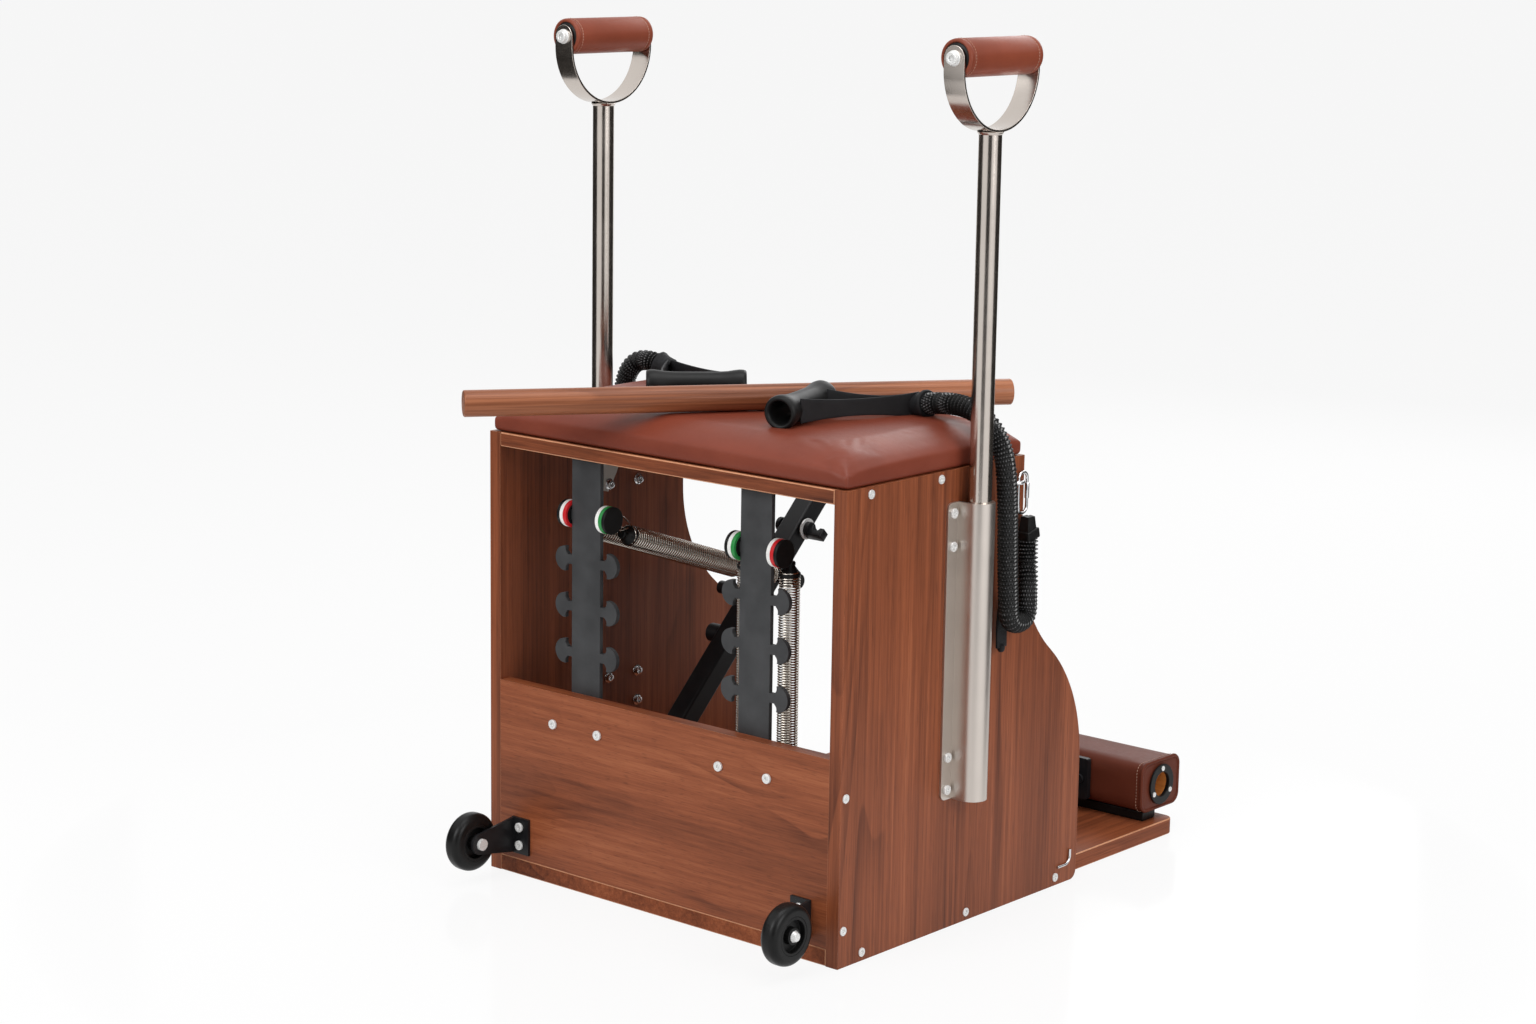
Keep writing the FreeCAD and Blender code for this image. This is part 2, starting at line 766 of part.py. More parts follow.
def hung_spring(name):
    """A spring that hangs from its puck, centred under the origin, and the open clip at its foot."""
    aside = hung_spring_depth - puck_depth
    top = -math.sqrt(puck_radius ** 2 - (aside - spring_wire_radius) ** 2) - fit_gap
    lead = spring_lead + 2 * spring_wire_radius
    spring = coil_spring(name, hung_spring_turns, hung_spring_coil)
    spring.translate(Z_AXIS * (top - lead - hung_spring_coil))
    foot = top - 2 * lead - hung_spring_coil
    clip = spring_clip(clip_shank)
    clip.translate(Z_AXIS * (foot - clip_shank))
    return spring, clip


def pin_place(reach):
    """A place on the arm's centre line at rest, before the left arm is lifted."""
    return V(post_offset, axle_y - reach, axle_height)


def lifted(shape):
    """Turns a left pedal piece up about the axle."""
    shape.rotate(V(0, axle_y, axle_height), X_AXIS, -pedal_lift)
    return shape


def drawn_spring(name):
    """A spring stretched from the puck to the pin of the lifted left arm, with its clip."""
    lift = FreeCAD.Rotation(X_AXIS, -pedal_lift)
    pin = V(0, axle_y, axle_height) + lift.multVec(V(0, -spring_pin_reach, 0))
    span = V(0, puck_y, puck_height - drawn_spring_drop) - pin
    lead = spring_lead + 2 * spring_wire_radius
    fall = drawn_spring_drop * span.z / span.Length
    rim = puck_radius + fit_gap + lead_slant_share * spring_wire_radius
    clear = math.sqrt(fall ** 2 + rim ** 2 - drawn_spring_drop ** 2) - fall
    coil = span.Length - clear - 2 * lead - clip_shank
    spring = coil_spring(name, drawn_spring_turns, coil)
    spring.translate(Z_AXIS * (clip_shank + lead))
    clip = spring_clip(clip_shank)
    lean = FreeCAD.Rotation(Z_AXIS, span)
    place = FreeCAD.Placement(pin, lean)
    spring.Placement = place.multiply(spring.Placement)
    clip.Placement = place.multiply(clip.Placement)
    return spring, clip


def pedal_arm():
    """The left arm: a square tube from its hub on the axle to the plate behind the pedal."""
    plate_back = pedal_reach - pedal_depth / 2 - arm_plate
    half = arm_tube / 2
    inner = half - arm_wall
    y_span = (axle_y - plate_back, axle_y - hub_radius / 2)
    tube = box((post_offset - half, post_offset + half), y_span, (axle_height - half, axle_height + half))
    tube = rounded(tube, arm_edge_radius, Y_AXIS)
    hub = rod(hub_radius, hub_width, V(post_offset - hub_width / 2, axle_y, axle_height), X_AXIS)
    middle = axle_height + pedal_rise
    plate = box((post_offset - arm_plate_width / 2, post_offset + arm_plate_width / 2),
                (axle_y - plate_back - arm_plate, axle_y - plate_back),
                (middle - arm_plate_height / 2, middle + arm_plate_height / 2))
    plate = rounded(plate, arm_edge_radius, Y_AXIS)
    arm = joined([tube, hub, plate])
    hollow = box((post_offset - inner, post_offset + inner), (axle_y - plate_back, axle_y - hub_radius),
                 (axle_height - inner, axle_height + inner))
    start = V(post_offset - hub_width / 2 - cut_overrun, axle_y, axle_height)
    holes = [hollow, rod(axle_radius + running_gap, hub_width + 2 * cut_overrun, start, X_AXIS)]
    for reach in (spring_pin_reach, spare_pin_reach):
        start = pin_place(reach) - X_AXIS * (half + cut_overrun)
        holes.append(rod(pin_radius + shank_gap, 2 * half + 2 * cut_overrun, start, X_AXIS))
    return arm.cut(holes)


def arm_pins():
    """Cross pins for the springs, capped at both ends, and the bolts of the pedal plate."""
    solids = []
    for reach, half in ((spring_pin_reach, pin_half_length), (spare_pin_reach, spare_pin_half_length)):
        place = pin_place(reach)
        pieces = [rod(pin_radius, 2 * half, place - X_AXIS * half, X_AXIS)]
        for way in (-1, 1):
            end = place + X_AXIS * (way * half)
            pieces.append(rod(pin_cap_radius, pin_cap_height, end, X_AXIS * way))
        solids.append(joined(pieces))
    side = X_AXIS * (arm_tube / 2)
    solids.append(rod(peg_radius, peg_length, pin_place(peg_reach) + side, X_AXIS))
    solids.append(rod(bush_radius, bush_length, pin_place(bush_reach) + side, X_AXIS))
    face_y = axle_y - pedal_reach + pedal_depth / 2 + arm_plate
    for way in (-1, 1):
        place = V(post_offset + way * arm_bolt_offset, face_y, axle_height + pedal_rise)
        solids.append(rod(bolt_head_radius, bolt_head_height, place, Y_AXIS))
    return solids


def pedal_block(trim, shorten):
    """The pedal's rounded block, trimmed all round and shortened at both ends."""
    y = axle_y - pedal_reach
    z = axle_height + pedal_rise
    half = (pedal_length / 2 - shorten, pedal_depth / 2 - trim, pedal_height / 2 - trim)
    centre = (post_offset, y, z)
    spans = [(middle - reach, middle + reach) for middle, reach in zip(centre, half)]
    block = box(*spans)
    return rounded(block, pedal_edge_radius - trim, X_AXIS)


def pedal_bore(radius):
    start = V(post_offset - pedal_length / 2 - cut_overrun, axle_y - pedal_reach, axle_height + pedal_rise)
    return rod(radius, pedal_length + 2 * cut_overrun, start, X_AXIS)


def pedal_leather():
    """The leather round the left pedal, folded over both ends up to the end rings."""
    skin = pedal_block(0, end_ring_height / 2).cut(pedal_block(leather, end_ring_height / 2 + pedal_end_fold))
    return skin.cut(pedal_bore(end_ring_radius - leather))


def pedal_core():
    """The left pedal's wooden block with its bore for the dowel."""
    block = pedal_block(leather, end_ring_height / 2 + pedal_end_fold)
    return block.cut(pedal_bore(dowel_radius + dowel_bore_gap))


def end_rings():
    """Flanged rings at both ends of the left pedal, seated in the leather's openings."""
    solids = []
    z = axle_height + pedal_rise
    bore = dowel_radius + dowel_bore_gap
    for way in (-1, 1):
        face = V(post_offset + way * (pedal_length / 2 - end_ring_height / 2), axle_y - pedal_reach, z)
        flange = tube_of(end_ring_radius, bore, end_ring_height / 2, face, X_AXIS * way)
        spigot = tube_of(end_ring_radius - leather - fit_gap, bore, pedal_end_fold, face, X_AXIS * -way)
        solids.append(flange.fuse(spigot))
    return solids


def axle_blocks():
    """Pillow blocks on the base that carry the axle between and outside the hubs."""
    solids = []
    for centre in (-axle_half_length + block_width / 2, 0, axle_half_length - block_width / 2):
        x_span = (centre - block_width / 2, centre + block_width / 2)
        y_span = (axle_y - block_length / 2, axle_y + block_length / 2)
        block = box(x_span, y_span, (base_thickness, block_top))
        top = [edge for edge in edges_along(block, X_AXIS) if edge.CenterOfMass.z > axle_height]
        block = block.makeFillet(hub_radius, top)
        start = V(x_span[0] - cut_overrun, axle_y, axle_height)
        bore = rod(axle_radius + running_gap, block_width + 2 * cut_overrun, start, X_AXIS)
        solids.append(block.cut(bore))
    return solids


def wheel_bracket():
    """The left bracket: a flange on the back panel and a tapered arm that carries the wheel."""
    arm_x = wheel_offset - wheel_width / 2 - wheel_washer - bracket_plate
    outer_x = arm_x + bracket_plate
    z_span = (wheel_height - bracket_height / 2, wheel_height + bracket_height / 2)
    flange = box((outer_x - bracket_flange, outer_x), (back_y, back_y + bracket_plate), z_span)
    end = V(arm_x, back_y + wheel_reach, wheel_height)
    low = V(arm_x, back_y, z_span[0])
    high = V(arm_x, back_y, z_span[1])
    edges = [line(low, high), line(high, ring_point(end, bracket_end_radius, 90))]
    edges.append(arc(ring_point(end, bracket_end_radius, 90), ring_point(end, bracket_end_radius, 0),
                     ring_point(end, bracket_end_radius, 270)))
    edges.append(line(ring_point(end, bracket_end_radius, 270), low))
    arm = outline_face(edges).extrude(X_AXIS * bracket_plate)
    through = bracket_plate + 2 * cut_overrun
    holes = [rod(wheel_bolt_radius + shank_gap, through, end - X_AXIS * cut_overrun, X_AXIS)]
    for place in bracket_bolt_places():
        start = V(place.x, back_y - cut_overrun, place.z)
        holes.append(rod(bolt_radius + shank_gap, bracket_plate + 2 * cut_overrun, start, Y_AXIS))
    return joined([flange, arm]).cut(holes)


def wheel_axle():
    """The left wheel's bolt with its head outside, a spacer and a nut behind the bracket."""
    y = back_y + wheel_reach
    inner = wheel_offset - wheel_width / 2 - wheel_washer
    outer = wheel_offset + wheel_width / 2 + fit_gap
    shank = outer - inner + bracket_plate + nut_height
    bolt = domed_bolt(V(outer, y, wheel_height), X_AXIS, wheel_bolt_radius, shank, wheel_bolt_head_radius,
                      wheel_bolt_head_height)
    spacer = rod(wheel_bolt_head_radius, wheel_washer - fit_gap, V(inner, y, wheel_height), X_AXIS)
    nut = rod(wheel_bolt_head_radius, nut_height, V(inner - bracket_plate, y, wheel_height), X_AXIS * -1)
    return joined([bolt, spacer, nut])


def wheel_tyre():
    place = V(wheel_offset - wheel_width / 2, back_y + wheel_reach, wheel_height)
    tyre = rod(wheel_radius, wheel_width, place, X_AXIS)
    tyre = tyre.makeFillet(wheel_crown_radius, [edge for edge in tyre.Edges if len(edge.Vertexes) == 1])
    start = place - X_AXIS * cut_overrun
    return tyre.cut(rod(wheel_hub_radius, wheel_width + 2 * cut_overrun, start, X_AXIS))


def wheel_hub():
    """The left wheel's hub: a web between a rim and a bearing boss."""
    place = V(wheel_offset - wheel_width / 2, back_y + wheel_reach, wheel_height)
    rim = wheel_hub_radius - shank_gap
    boss = wheel_bolt_head_radius + wheel_washer
    well = wheel_hub_radius - bracket_plate
    depth = wheel_width / 2 - bracket_plate
    hub = rod(rim, wheel_width, place, X_AXIS)
    for start in (place, place + X_AXIS * (wheel_width - depth)):
        hub = hub.cut(tube_of(well, boss, depth, start, X_AXIS))
    start = place - X_AXIS * cut_overrun
    return hub.cut(rod(wheel_bolt_radius + running_gap, wheel_width + 2 * cut_overrun, start, X_AXIS))


def wire_hook():
    """A bent wire hook low on the left side: a flat run along the board and an open bow."""
    x = half_width + hook_wire_radius
    start = V(x, back_y - hook_depth, hook_height)
    bend = start - Y_AXIS * hook_run
    centre = bend + Z_AXIS * hook_bend
    side = ring_point(centre, hook_bend, 180)
    edges = [line(start, bend), arc(bend, ring_point(centre, hook_bend, 225), side)]
    edges.append(line(side, side + Z_AXIS * hook_tip))
    return swept(Part.Wire(edges), hook_wire_radius)


def band_eye():
    """A half ring on the left side board that the band's link goes through."""
    centre = V(half_width, eye_y, eye_height)
    foot = centre + Y_AXIS * eye_radius
    other = centre - Y_AXIS * eye_radius
    return swept(Part.Wire([arc(foot, centre + X_AXIS * eye_radius, other)]), eye_wire_radius)


def band_link():
    """A closed link that hangs in the left eye, one leg inside the half ring."""
    x = half_width + eye_radius - eye_wire_radius - link_wire_radius - fit_gap
    y = eye_y
    top = V(x, y - link_bend, eye_height + eye_wire_radius + fit_gap)
    low = top - Z_AXIS * link_length
    edges = [arc(*[ring_point(top, link_bend, angle) for angle in (0, 90, 180)])]
    edges.append(line(ring_point(top, link_bend, 180), ring_point(low, link_bend, 180)))
    edges.append(arc(*[ring_point(low, link_bend, angle) for angle in (180, 270, 0)]))
    edges.append(line(ring_point(low, link_bend, 0), ring_point(top, link_bend, 0)))
    return swept(Part.Wire(edges), link_wire_radius), low


def band_cuff(route_end, low):
    """The black upright cuff between a band's end and the foot of its link."""
    start = route_end + Z_AXIS * (3 * fit_gap)
    height = low.z - link_bend - link_wire_radius - fit_gap - start.z
    return rod(cuff_radius, height, start, Z_AXIS)


def stirrup_grip(ends):
    """A hollow hand grip with flared ends."""
    run = ends[1] - ends[0]
    length = run.Length
    half = length / 2
    swell = stirrup_flare_radius - stirrup_grip_radius
    profile = [line(V(stirrup_bore, 0, 0), V(stirrup_flare_radius, 0, 0))]
    waist = V(stirrup_grip_radius, 0, half)
    neck = stirrup_grip_radius + swell / 4
    far = V(stirrup_flare_radius, 0, length)
    profile.append(arc(V(stirrup_flare_radius, 0, 0), V(neck, 0, stirrup_flare), waist))
    profile.append(arc(waist, V(neck, 0, length - stirrup_flare), far))
    profile.append(line(V(stirrup_flare_radius, 0, length), V(stirrup_bore, 0, length)))
    profile.append(line(V(stirrup_bore, 0, length), V(stirrup_bore, 0, 0)))
    grip_solid = outline_face(profile).revolve(ORIGIN, Z_AXIS, 360)
    grip_solid.Placement = FreeCAD.Placement(ends[0], FreeCAD.Rotation(Z_AXIS, run))
    return grip_solid


def stirrup_strap(ends, route):
    """Webbing on edge from both ends of the grip to the ring at the start of the band."""
    way = (route[0] - route[1]).normalize()
    ring = tube_of(ring_radius, ring_radius - strap_sheet, ring_length, route[0] + way * fit_gap, way)
    knot = route[0] + way * (fit_gap + ring_length / 2)
    pieces = [ring]
    run = ends[1] - ends[0]
    side = V(run.y, -run.x, 0).normalize()
    if side.dot(knot - ends[0]) < 0:
        side = side * -1
    clear = stirrup_flare_radius + strap_sheet + fit_gap
    for end in ends:
        foot = V(end.x, end.y, 0) + side * clear
        aim = V(knot.x, knot.y, 0) - foot
        flat = V(aim.x, aim.y, 0).normalize()
        across = V(-flat.y, flat.x, 0) * (strap_sheet / 2)
        reach = aim.Length - ring_radius + strap_sheet
        corners = [foot + across, foot - across, foot - across + flat * reach, foot + across + flat * reach]
        corners.append(corners[0])
        leg = Part.Face(Part.makePolygon(corners)).extrude(Z_AXIS * strap_height)
        leg.translate(Z_AXIS * (max(ends[0].z, ends[1].z) - strap_height / 2))
        pieces.append(leg)
    return joined(pieces)


def dowel():
    """A wooden rod that links the two pedals in use, laid across the seat."""
    way = V(math.cos(math.radians(dowel_heading)), math.sin(math.radians(dowel_heading)), 0)
    crown = cushion().optimalBoundingBox().ZMax
    start = V(dowel_x, dowel_y, crown + fit_gap + dowel_radius) - way * (dowel_length / 2)
    solid = rod(dowel_radius, dowel_length, start, way)
    return solid.makeFillet(dowel_end_radius, [edge for edge in solid.Edges if len(edge.Vertexes) == 1])


def both(solids):
    """A group of left solids together with their mirror images."""
    return list(solids) + [mirrored(solid) for solid in solids]


def build_carcass():
    write_pair("side_panel", side_panel())
    write("base_board", base_board())
    write("lower_back_panel", back_panel())
    write("seat_board", box((-inner_half, inner_half), (seat_front_y, back_y), (seat_under, carcass_height)))
    write("seat_cushion", cushion())
    write("seat_gussets", *both([gusset()]))
    length = board * screw_length_share
    screws = [domed_bolt(place, X_AXIS, screw_shank_radius, length, screw_head_radius, screw_head_height)
              for place in screw_places()]
    write("carcass_screws", *both(screws))
    top = pedal_bottom
    strip_y = axle_y - pedal_reach
    write("pedal_stop_strip", box((-inner_half + board, inner_half - board),
                                  (strip_y - strip_width / 2 + board, strip_y + strip_width / 2 + board),
                                  (base_thickness, top)))
    write("wire_hooks", *both([wire_hook()]))
    write("panel_bolts", *panel_bolts())


def build_handles():
    write_pair("pole_sleeve", pole_sleeve())
    write("sleeve_fasteners", *both(sleeve_fasteners()))
    write_pair("handle_frame", handle_frame())
    write_pair("grip", grip())
    write_pair("grip_bolt", grip_bolt())


def build_springs():
    write_pair("spring_post", spring_post())
    places = puck_places()
    write("puck_bodies", *[puck_body(*place) for place in places.values()])
    write("puck_white_rings", *[puck_ring(*place, 0) for place in places.values()])
    for colour, row in (("red", "outer"), ("green", "inner")):
        rings = [puck_ring(*places[side + "_" + row], 1) for side in ("right", "left")]
        write("puck_" + colour + "_rings", *rings)
    left_clips = []
    for row, way in (("outer", 1), ("inner", -1)):
        spring, clip = hung_spring("spring_right_" + row)
        top = V(-post_offset - way * puck_offset, back_y - hung_spring_depth, puck_height)
        spring.translate(top)
        clip.translate(top)
        write("spring_right_" + row, spring)
        write("spring_clip_right_" + row, clip)
        spring, clip = drawn_spring("spring_left_" + row)
        place = V(post_offset + way * puck_offset, 0, 0)
        spring.translate(place)
        clip.translate(place)
        write("spring_left_" + row, spring)
        left_clips.append(clip)
    write("spring_clips_left", *left_clips)


def build_pedals():
    start = V(-axle_half_length, axle_y, axle_height)
    write("pedal_axle", rod(axle_radius, 2 * axle_half_length, start, X_AXIS))
    write("axle_blocks", *axle_blocks())
    pieces = {
        "pedal_arm": [pedal_arm()],
        "pedal_core": [pedal_core()],
        "pedal_leather": [pedal_leather()],
        "pedal_end_rings": end_rings(),
        "arm_pins": arm_pins(),
    }
    for name, solids in pieces.items():
        write(name + "_right", *[mirrored(solid) for solid in solids])
        write(name + "_left", *[lifted(solid.copy()) for solid in solids])
    write("dowel", dowel())


def build_wheels():
    write_pair("wheel_bracket", wheel_bracket())
    write("wheel_axles", *both([wheel_axle()]))
    write_pair("wheel_tyre", wheel_tyre())
    write_pair("wheel_hub", wheel_hub())


def from_front(points):
    """Places given from the seat's front edge, in the part's own frame."""
    return [point + Y_AXIS * seat_front_y for point in points]


def build_bands():
    write("band_eyes", *both([band_eye()]))
    link, low = band_link()
    clips = []
    grips = []
    for side, points, hold in (("right", band_right_route, grip_right_ends),
                               ("left", band_left_route, grip_left_ends)):
        route = from_front(points)
        ends = from_front(hold)
        grips.append(stirrup_grip(ends))
        write("band_" + side, cord_tube("band_" + side, route, band_radius))
        own_link = link if side == "left" else mirrored(link)
        own_low = V(math.copysign(low.x, route[0].x), low.y, low.z)
        clips += [own_link, band_cuff(route[-1], own_low)]
        write("band_strap_" + side, stirrup_strap(ends, route))
    write("band_clips", *clips)
    write("band_grips", *grips)


os.makedirs("parts", exist_ok=True)
build_carcass()
build_handles()
build_springs()
build_pedals()
build_wheels()
build_bands()
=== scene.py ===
# %% [markdown]
# A pilates chair is a wooden box with a padded seat, two spring-loaded pedals at the front,
# two lift-out handles and a pair of elastic bands. The rigid boards, tubes and brackets come
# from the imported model, so this lesson starts by loading it and keeping its box.

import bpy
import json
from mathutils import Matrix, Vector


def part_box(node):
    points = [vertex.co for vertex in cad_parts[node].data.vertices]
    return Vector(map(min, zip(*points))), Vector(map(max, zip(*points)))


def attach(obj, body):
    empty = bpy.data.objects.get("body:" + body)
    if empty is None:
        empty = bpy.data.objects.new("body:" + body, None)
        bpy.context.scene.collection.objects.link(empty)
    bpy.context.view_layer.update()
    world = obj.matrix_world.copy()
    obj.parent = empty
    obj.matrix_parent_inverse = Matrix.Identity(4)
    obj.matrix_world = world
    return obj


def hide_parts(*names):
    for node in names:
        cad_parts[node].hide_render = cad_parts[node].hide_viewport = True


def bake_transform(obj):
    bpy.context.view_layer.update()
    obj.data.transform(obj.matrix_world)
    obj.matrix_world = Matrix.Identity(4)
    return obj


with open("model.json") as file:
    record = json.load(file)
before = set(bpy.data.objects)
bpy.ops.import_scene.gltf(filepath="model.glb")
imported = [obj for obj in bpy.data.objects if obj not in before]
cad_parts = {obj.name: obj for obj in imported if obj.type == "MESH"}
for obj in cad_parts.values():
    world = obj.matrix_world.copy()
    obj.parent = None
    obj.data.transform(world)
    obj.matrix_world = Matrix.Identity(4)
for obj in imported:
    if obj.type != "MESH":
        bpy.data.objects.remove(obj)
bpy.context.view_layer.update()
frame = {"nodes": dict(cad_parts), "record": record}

import json
import math

import bmesh
import bpy
from mathutils import Matrix, Quaternion, Vector

scene = bpy.context.scene
scene.view_settings.view_transform = "Standard"
node_body = {node: body for body, nodes in frame["record"]["behaviour"]["bodies"].items() for node in nodes}

# %% [markdown]
# A photographer stands behind the chair, to its right and a little above the seat, with a long
# lens. A camera is easiest to place by its position and the direction it looks in, and a small
# roll about that direction finishes it.

# %% Camera
CAMERA_PLACE = Vector((-2.5109, 2.9755, 1.2512))
CAMERA_HEADING = Vector((0.6501, -0.7598, 0.0))
CAMERA_PITCH = math.radians(11.2)
CAMERA_ROLL = math.radians(0.87)
CAMERA_LENS = 72.63

bpy.ops.object.camera_add(location=CAMERA_PLACE)
camera = bpy.context.object
camera.name = "camera"
look = CAMERA_HEADING.normalized() * math.cos(CAMERA_PITCH) - Vector((0, 0, math.sin(CAMERA_PITCH)))
turn = look.to_track_quat("-Z", "Y") @ Quaternion((0, 0, 1), CAMERA_ROLL)
camera.rotation_mode = "QUATERNION"
camera.rotation_quaternion = turn
camera.data.lens = CAMERA_LENS
camera.data.sensor_width = 36.0
camera.data.clip_end = 60.0
scene.camera = camera
print("camera at", tuple(CAMERA_PLACE), "lens", CAMERA_LENS)

# %% [markdown]
# Operators act on whatever is selected, so a few helpers do the bookkeeping: start from an
# empty selection, pick faces by their place, apply modifiers, and hand a finished piece over
# with its body, finish and the solid that it stands for.

# %% Helpers for pieces
MERGE_GAP = 0.00002


def deselect():
    if bpy.context.object and bpy.context.object.mode != "OBJECT":
        bpy.ops.object.mode_set(mode="OBJECT")
    bpy.ops.object.select_all(action="DESELECT")


def only(piece):
    deselect()
    piece.select_set(True)
    bpy.context.view_layer.objects.active = piece
    return piece


def edit_all(piece):
    """Opens a piece in edit mode with everything selected."""
    only(piece)
    bpy.ops.object.mode_set(mode="EDIT")
    bpy.ops.mesh.select_all(action="SELECT")


def pick_faces(piece, test):
    """Selects the faces whose middle and normal pass the test, and leaves the piece in edit mode."""
    only(piece)
    bpy.ops.object.mode_set(mode="EDIT")
    bpy.ops.mesh.select_mode(type="FACE")
    bpy.ops.mesh.select_all(action="DESELECT")
    shape = bmesh.from_edit_mesh(piece.data)
    for face in shape.faces:
        if test(face.calc_center_median(), face.normal):
            face.select_set(True)
    bmesh.update_edit_mesh(piece.data)


def leave_edit():
    bpy.ops.object.mode_set(mode="OBJECT")


def modify(piece, kind, **settings):
    """Adds one modifier, sets it and applies it at once."""
    only(piece)
    modifier = piece.modifiers.new(kind.lower(), kind)
    for key, value in settings.items():
        setattr(modifier, key, value)
    bpy.ops.object.modifier_apply(modifier=modifier.name)
    return piece


def round_edges(piece, width, segments=2, angle=35.0, finish=-1):
    return modify(piece, "BEVEL", width=width, segments=segments, limit_method="ANGLE", material=finish,
                  angle_limit=math.radians(angle), harden_normals=False, use_clamp_overlap=True)


def place_in_mesh(piece):
    only(piece)
    bpy.ops.object.transform_apply(location=True, rotation=True, scale=True)
    return piece


def smooth(piece, angle=35.0):
    only(piece)
    bpy.ops.object.shade_smooth_by_angle(angle=math.radians(angle))
    return piece


def join(name, pieces):
    deselect()
    for piece in pieces:
        piece.select_set(True)
    bpy.context.view_layer.objects.active = pieces[0]
    if len(pieces) > 1:
        bpy.ops.object.join()
    pieces[0].name = name
    return pieces[0]


def twin(piece):
    """A copy with its own mesh."""
    only(piece)
    bpy.ops.object.duplicate(linked=False)
    return bpy.context.object


def made(operator, **settings):
    """The piece that one of the operators for primitives adds."""
    deselect()
    operator(**settings)
    return bpy.context.object


def new_piece(name, points, edges, faces):
    mesh = bpy.data.meshes.new(name)
    mesh.from_pydata(points, edges, faces)
    piece = bpy.data.objects.new(name, mesh)
    scene.collection.objects.link(piece)
    return piece


def standing_at(place, way):
    """The matrix that stands a model's Z axis at a place, turned to the way given."""
    return Matrix.Translation(place) @ way.to_track_quat("Z", "Y").to_matrix().to_4x4()


def outward(piece):
    """Merges doubles and points every face outwards."""
    edit_all(piece)
    bpy.ops.mesh.remove_doubles(threshold=MERGE_GAP)
    bpy.ops.mesh.normals_make_consistent(inside=False)
    leave_edit()
    return piece


def finish_piece(piece, name, material, body, stands_for=()):
    place_in_mesh(piece)
    piece.name = name
    piece.data.name = name
    piece.data.materials.clear()
    piece.data.materials.append(material)
    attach(piece, body)
    if stands_for:
        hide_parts(*stands_for)
    return piece


def finish_joined(pieces, name, material, body, stands_for=()):
    return finish_piece(join(name, pieces), name, material, body, stands_for)


def rigid_copy(node, name, material, width, bevel_highlight_finish=None):
    """A merged copy of a rigid node whose sharp edges are rounded, so that they catch the light; an edge
    finish, if given, paints the rounded edges lighter as a painted highlight.
    """
    copy = twin(frame["nodes"][node])
    copy.parent = None
    for key in list(copy.keys()):
        del copy[key]
    edit_all(copy)
    bpy.ops.mesh.remove_doubles(threshold=MERGE_GAP)
    bpy.ops.mesh.dissolve_limited(angle_limit=math.radians(1.0))
    leave_edit()
    copy.data.materials.clear()
    copy.data.materials.append(material)
    if bevel_highlight_finish:
        copy.data.materials.append(bevel_highlight_finish)
    if width:
        round_edges(copy, width, finish=1 if bevel_highlight_finish else -1)
    smooth(copy)
    if width:
        modify(copy, "WEIGHTED_NORMAL", weight=100, keep_sharp=True)
    finishes = [face.material_index for face in copy.data.polygons]
    finish_piece(copy, name, material, node_body[node], (node,))
    if bevel_highlight_finish:
        copy.data.materials.append(bevel_highlight_finish)
        copy.data.polygons.foreach_set("material_index", finishes)
    return copy


def solid_boxes(node):
    """The lowest and highest corner of each separate solid in a node."""
    shape = bmesh.new()
    shape.from_mesh(frame["nodes"][node].data)
    bmesh.ops.remove_doubles(shape, verts=shape.verts, dist=MERGE_GAP)
    left = set(shape.verts)
    boxes = []
    while left:
        island = [left.pop()]
        for vert in island:
            for edge in vert.link_edges:
                other = edge.other_vert(vert)
                if other in left:
                    left.remove(other)
                    island.append(other)
        low = Vector([min(vert.co[axis] for vert in island) for axis in range(3)])
        high = Vector([max(vert.co[axis] for vert in island) for axis in range(3)])
        boxes.append((low, high))
    shape.free()
    return sorted(boxes, key=lambda pair: tuple(pair[0]))


print("helpers ready")

# %% [markdown]
# Materials are built from nodes, never from pictures. Small helpers keep the node code short: one
# adds a node with its settings and links, one starts a material with a Principled shader, and the
# rest wrap the few kinds of node that come up again and again.

# %% Helpers for materials
def add(tree, kind, settings=None, **links):
    """Adds a node, sets its properties, and fills its inputs with values or other nodes' outputs."""
    node = tree.nodes.new(kind)
    for key, value in (settings or {}).items():
        setattr(node, key, value)
    for key, value in links.items():
        if key[0] == "i" and key[1:].isdigit():
            socket = node.inputs[int(key[1:])]
        else:
            socket = node.inputs[key.replace("_", " ")]
        if isinstance(value, bpy.types.NodeSocket):
            tree.links.new(value, socket)
        else:
            socket.default_value = value
    return node


def ramp(tree, factor, stops):
    node = add(tree, "ShaderNodeValToRGB", Fac=factor)
    band = node.color_ramp
    while len(band.elements) < len(stops):
        band.elements.new(0.5)
    for element, (place, colour) in zip(band.elements, stops):
        element.position = place
        element.color = (*colour, 1.0)
    return node.outputs["Color"]


def start_material(name, **values):
    material = bpy.data.materials.new(name)
    material.use_nodes = True
    tree = material.node_tree
    shader = tree.nodes["Principled BSDF"]
    for key, value in values.items():
        shader.inputs[key.replace("_", " ")].default_value = value
    return material, tree, shader


def new_group(name, outputs, **dials):
    """Starts a shared group of nodes that reads a vector and some numbers and gives numbers."""
    group = bpy.data.node_groups.new(name, "ShaderNodeTree")
    group.interface.new_socket(name="Vector", in_out="INPUT", socket_type="NodeSocketVector")
    for label, value in dials.items():
        socket = group.interface.new_socket(name=label, in_out="INPUT", socket_type="NodeSocketFloat")
        socket.default_value = value
    for label in outputs:
        group.interface.new_socket(name=label, in_out="OUTPUT", socket_type="NodeSocketFloat")
    return group, group.nodes.new("NodeGroupInput").outputs, group.nodes.new("NodeGroupOutput").inputs


def shared(tree, group, place, **dials):
    """The outputs of a shared group that is put into a material."""
    return add(tree, "ShaderNodeGroup", {"node_tree": group}, Vector=place, **dials).outputs


def math_node(tree, operation, first, second=0.0):
    return add(tree, "ShaderNodeMath", {"operation": operation}, i0=first, i1=second).outputs[0]


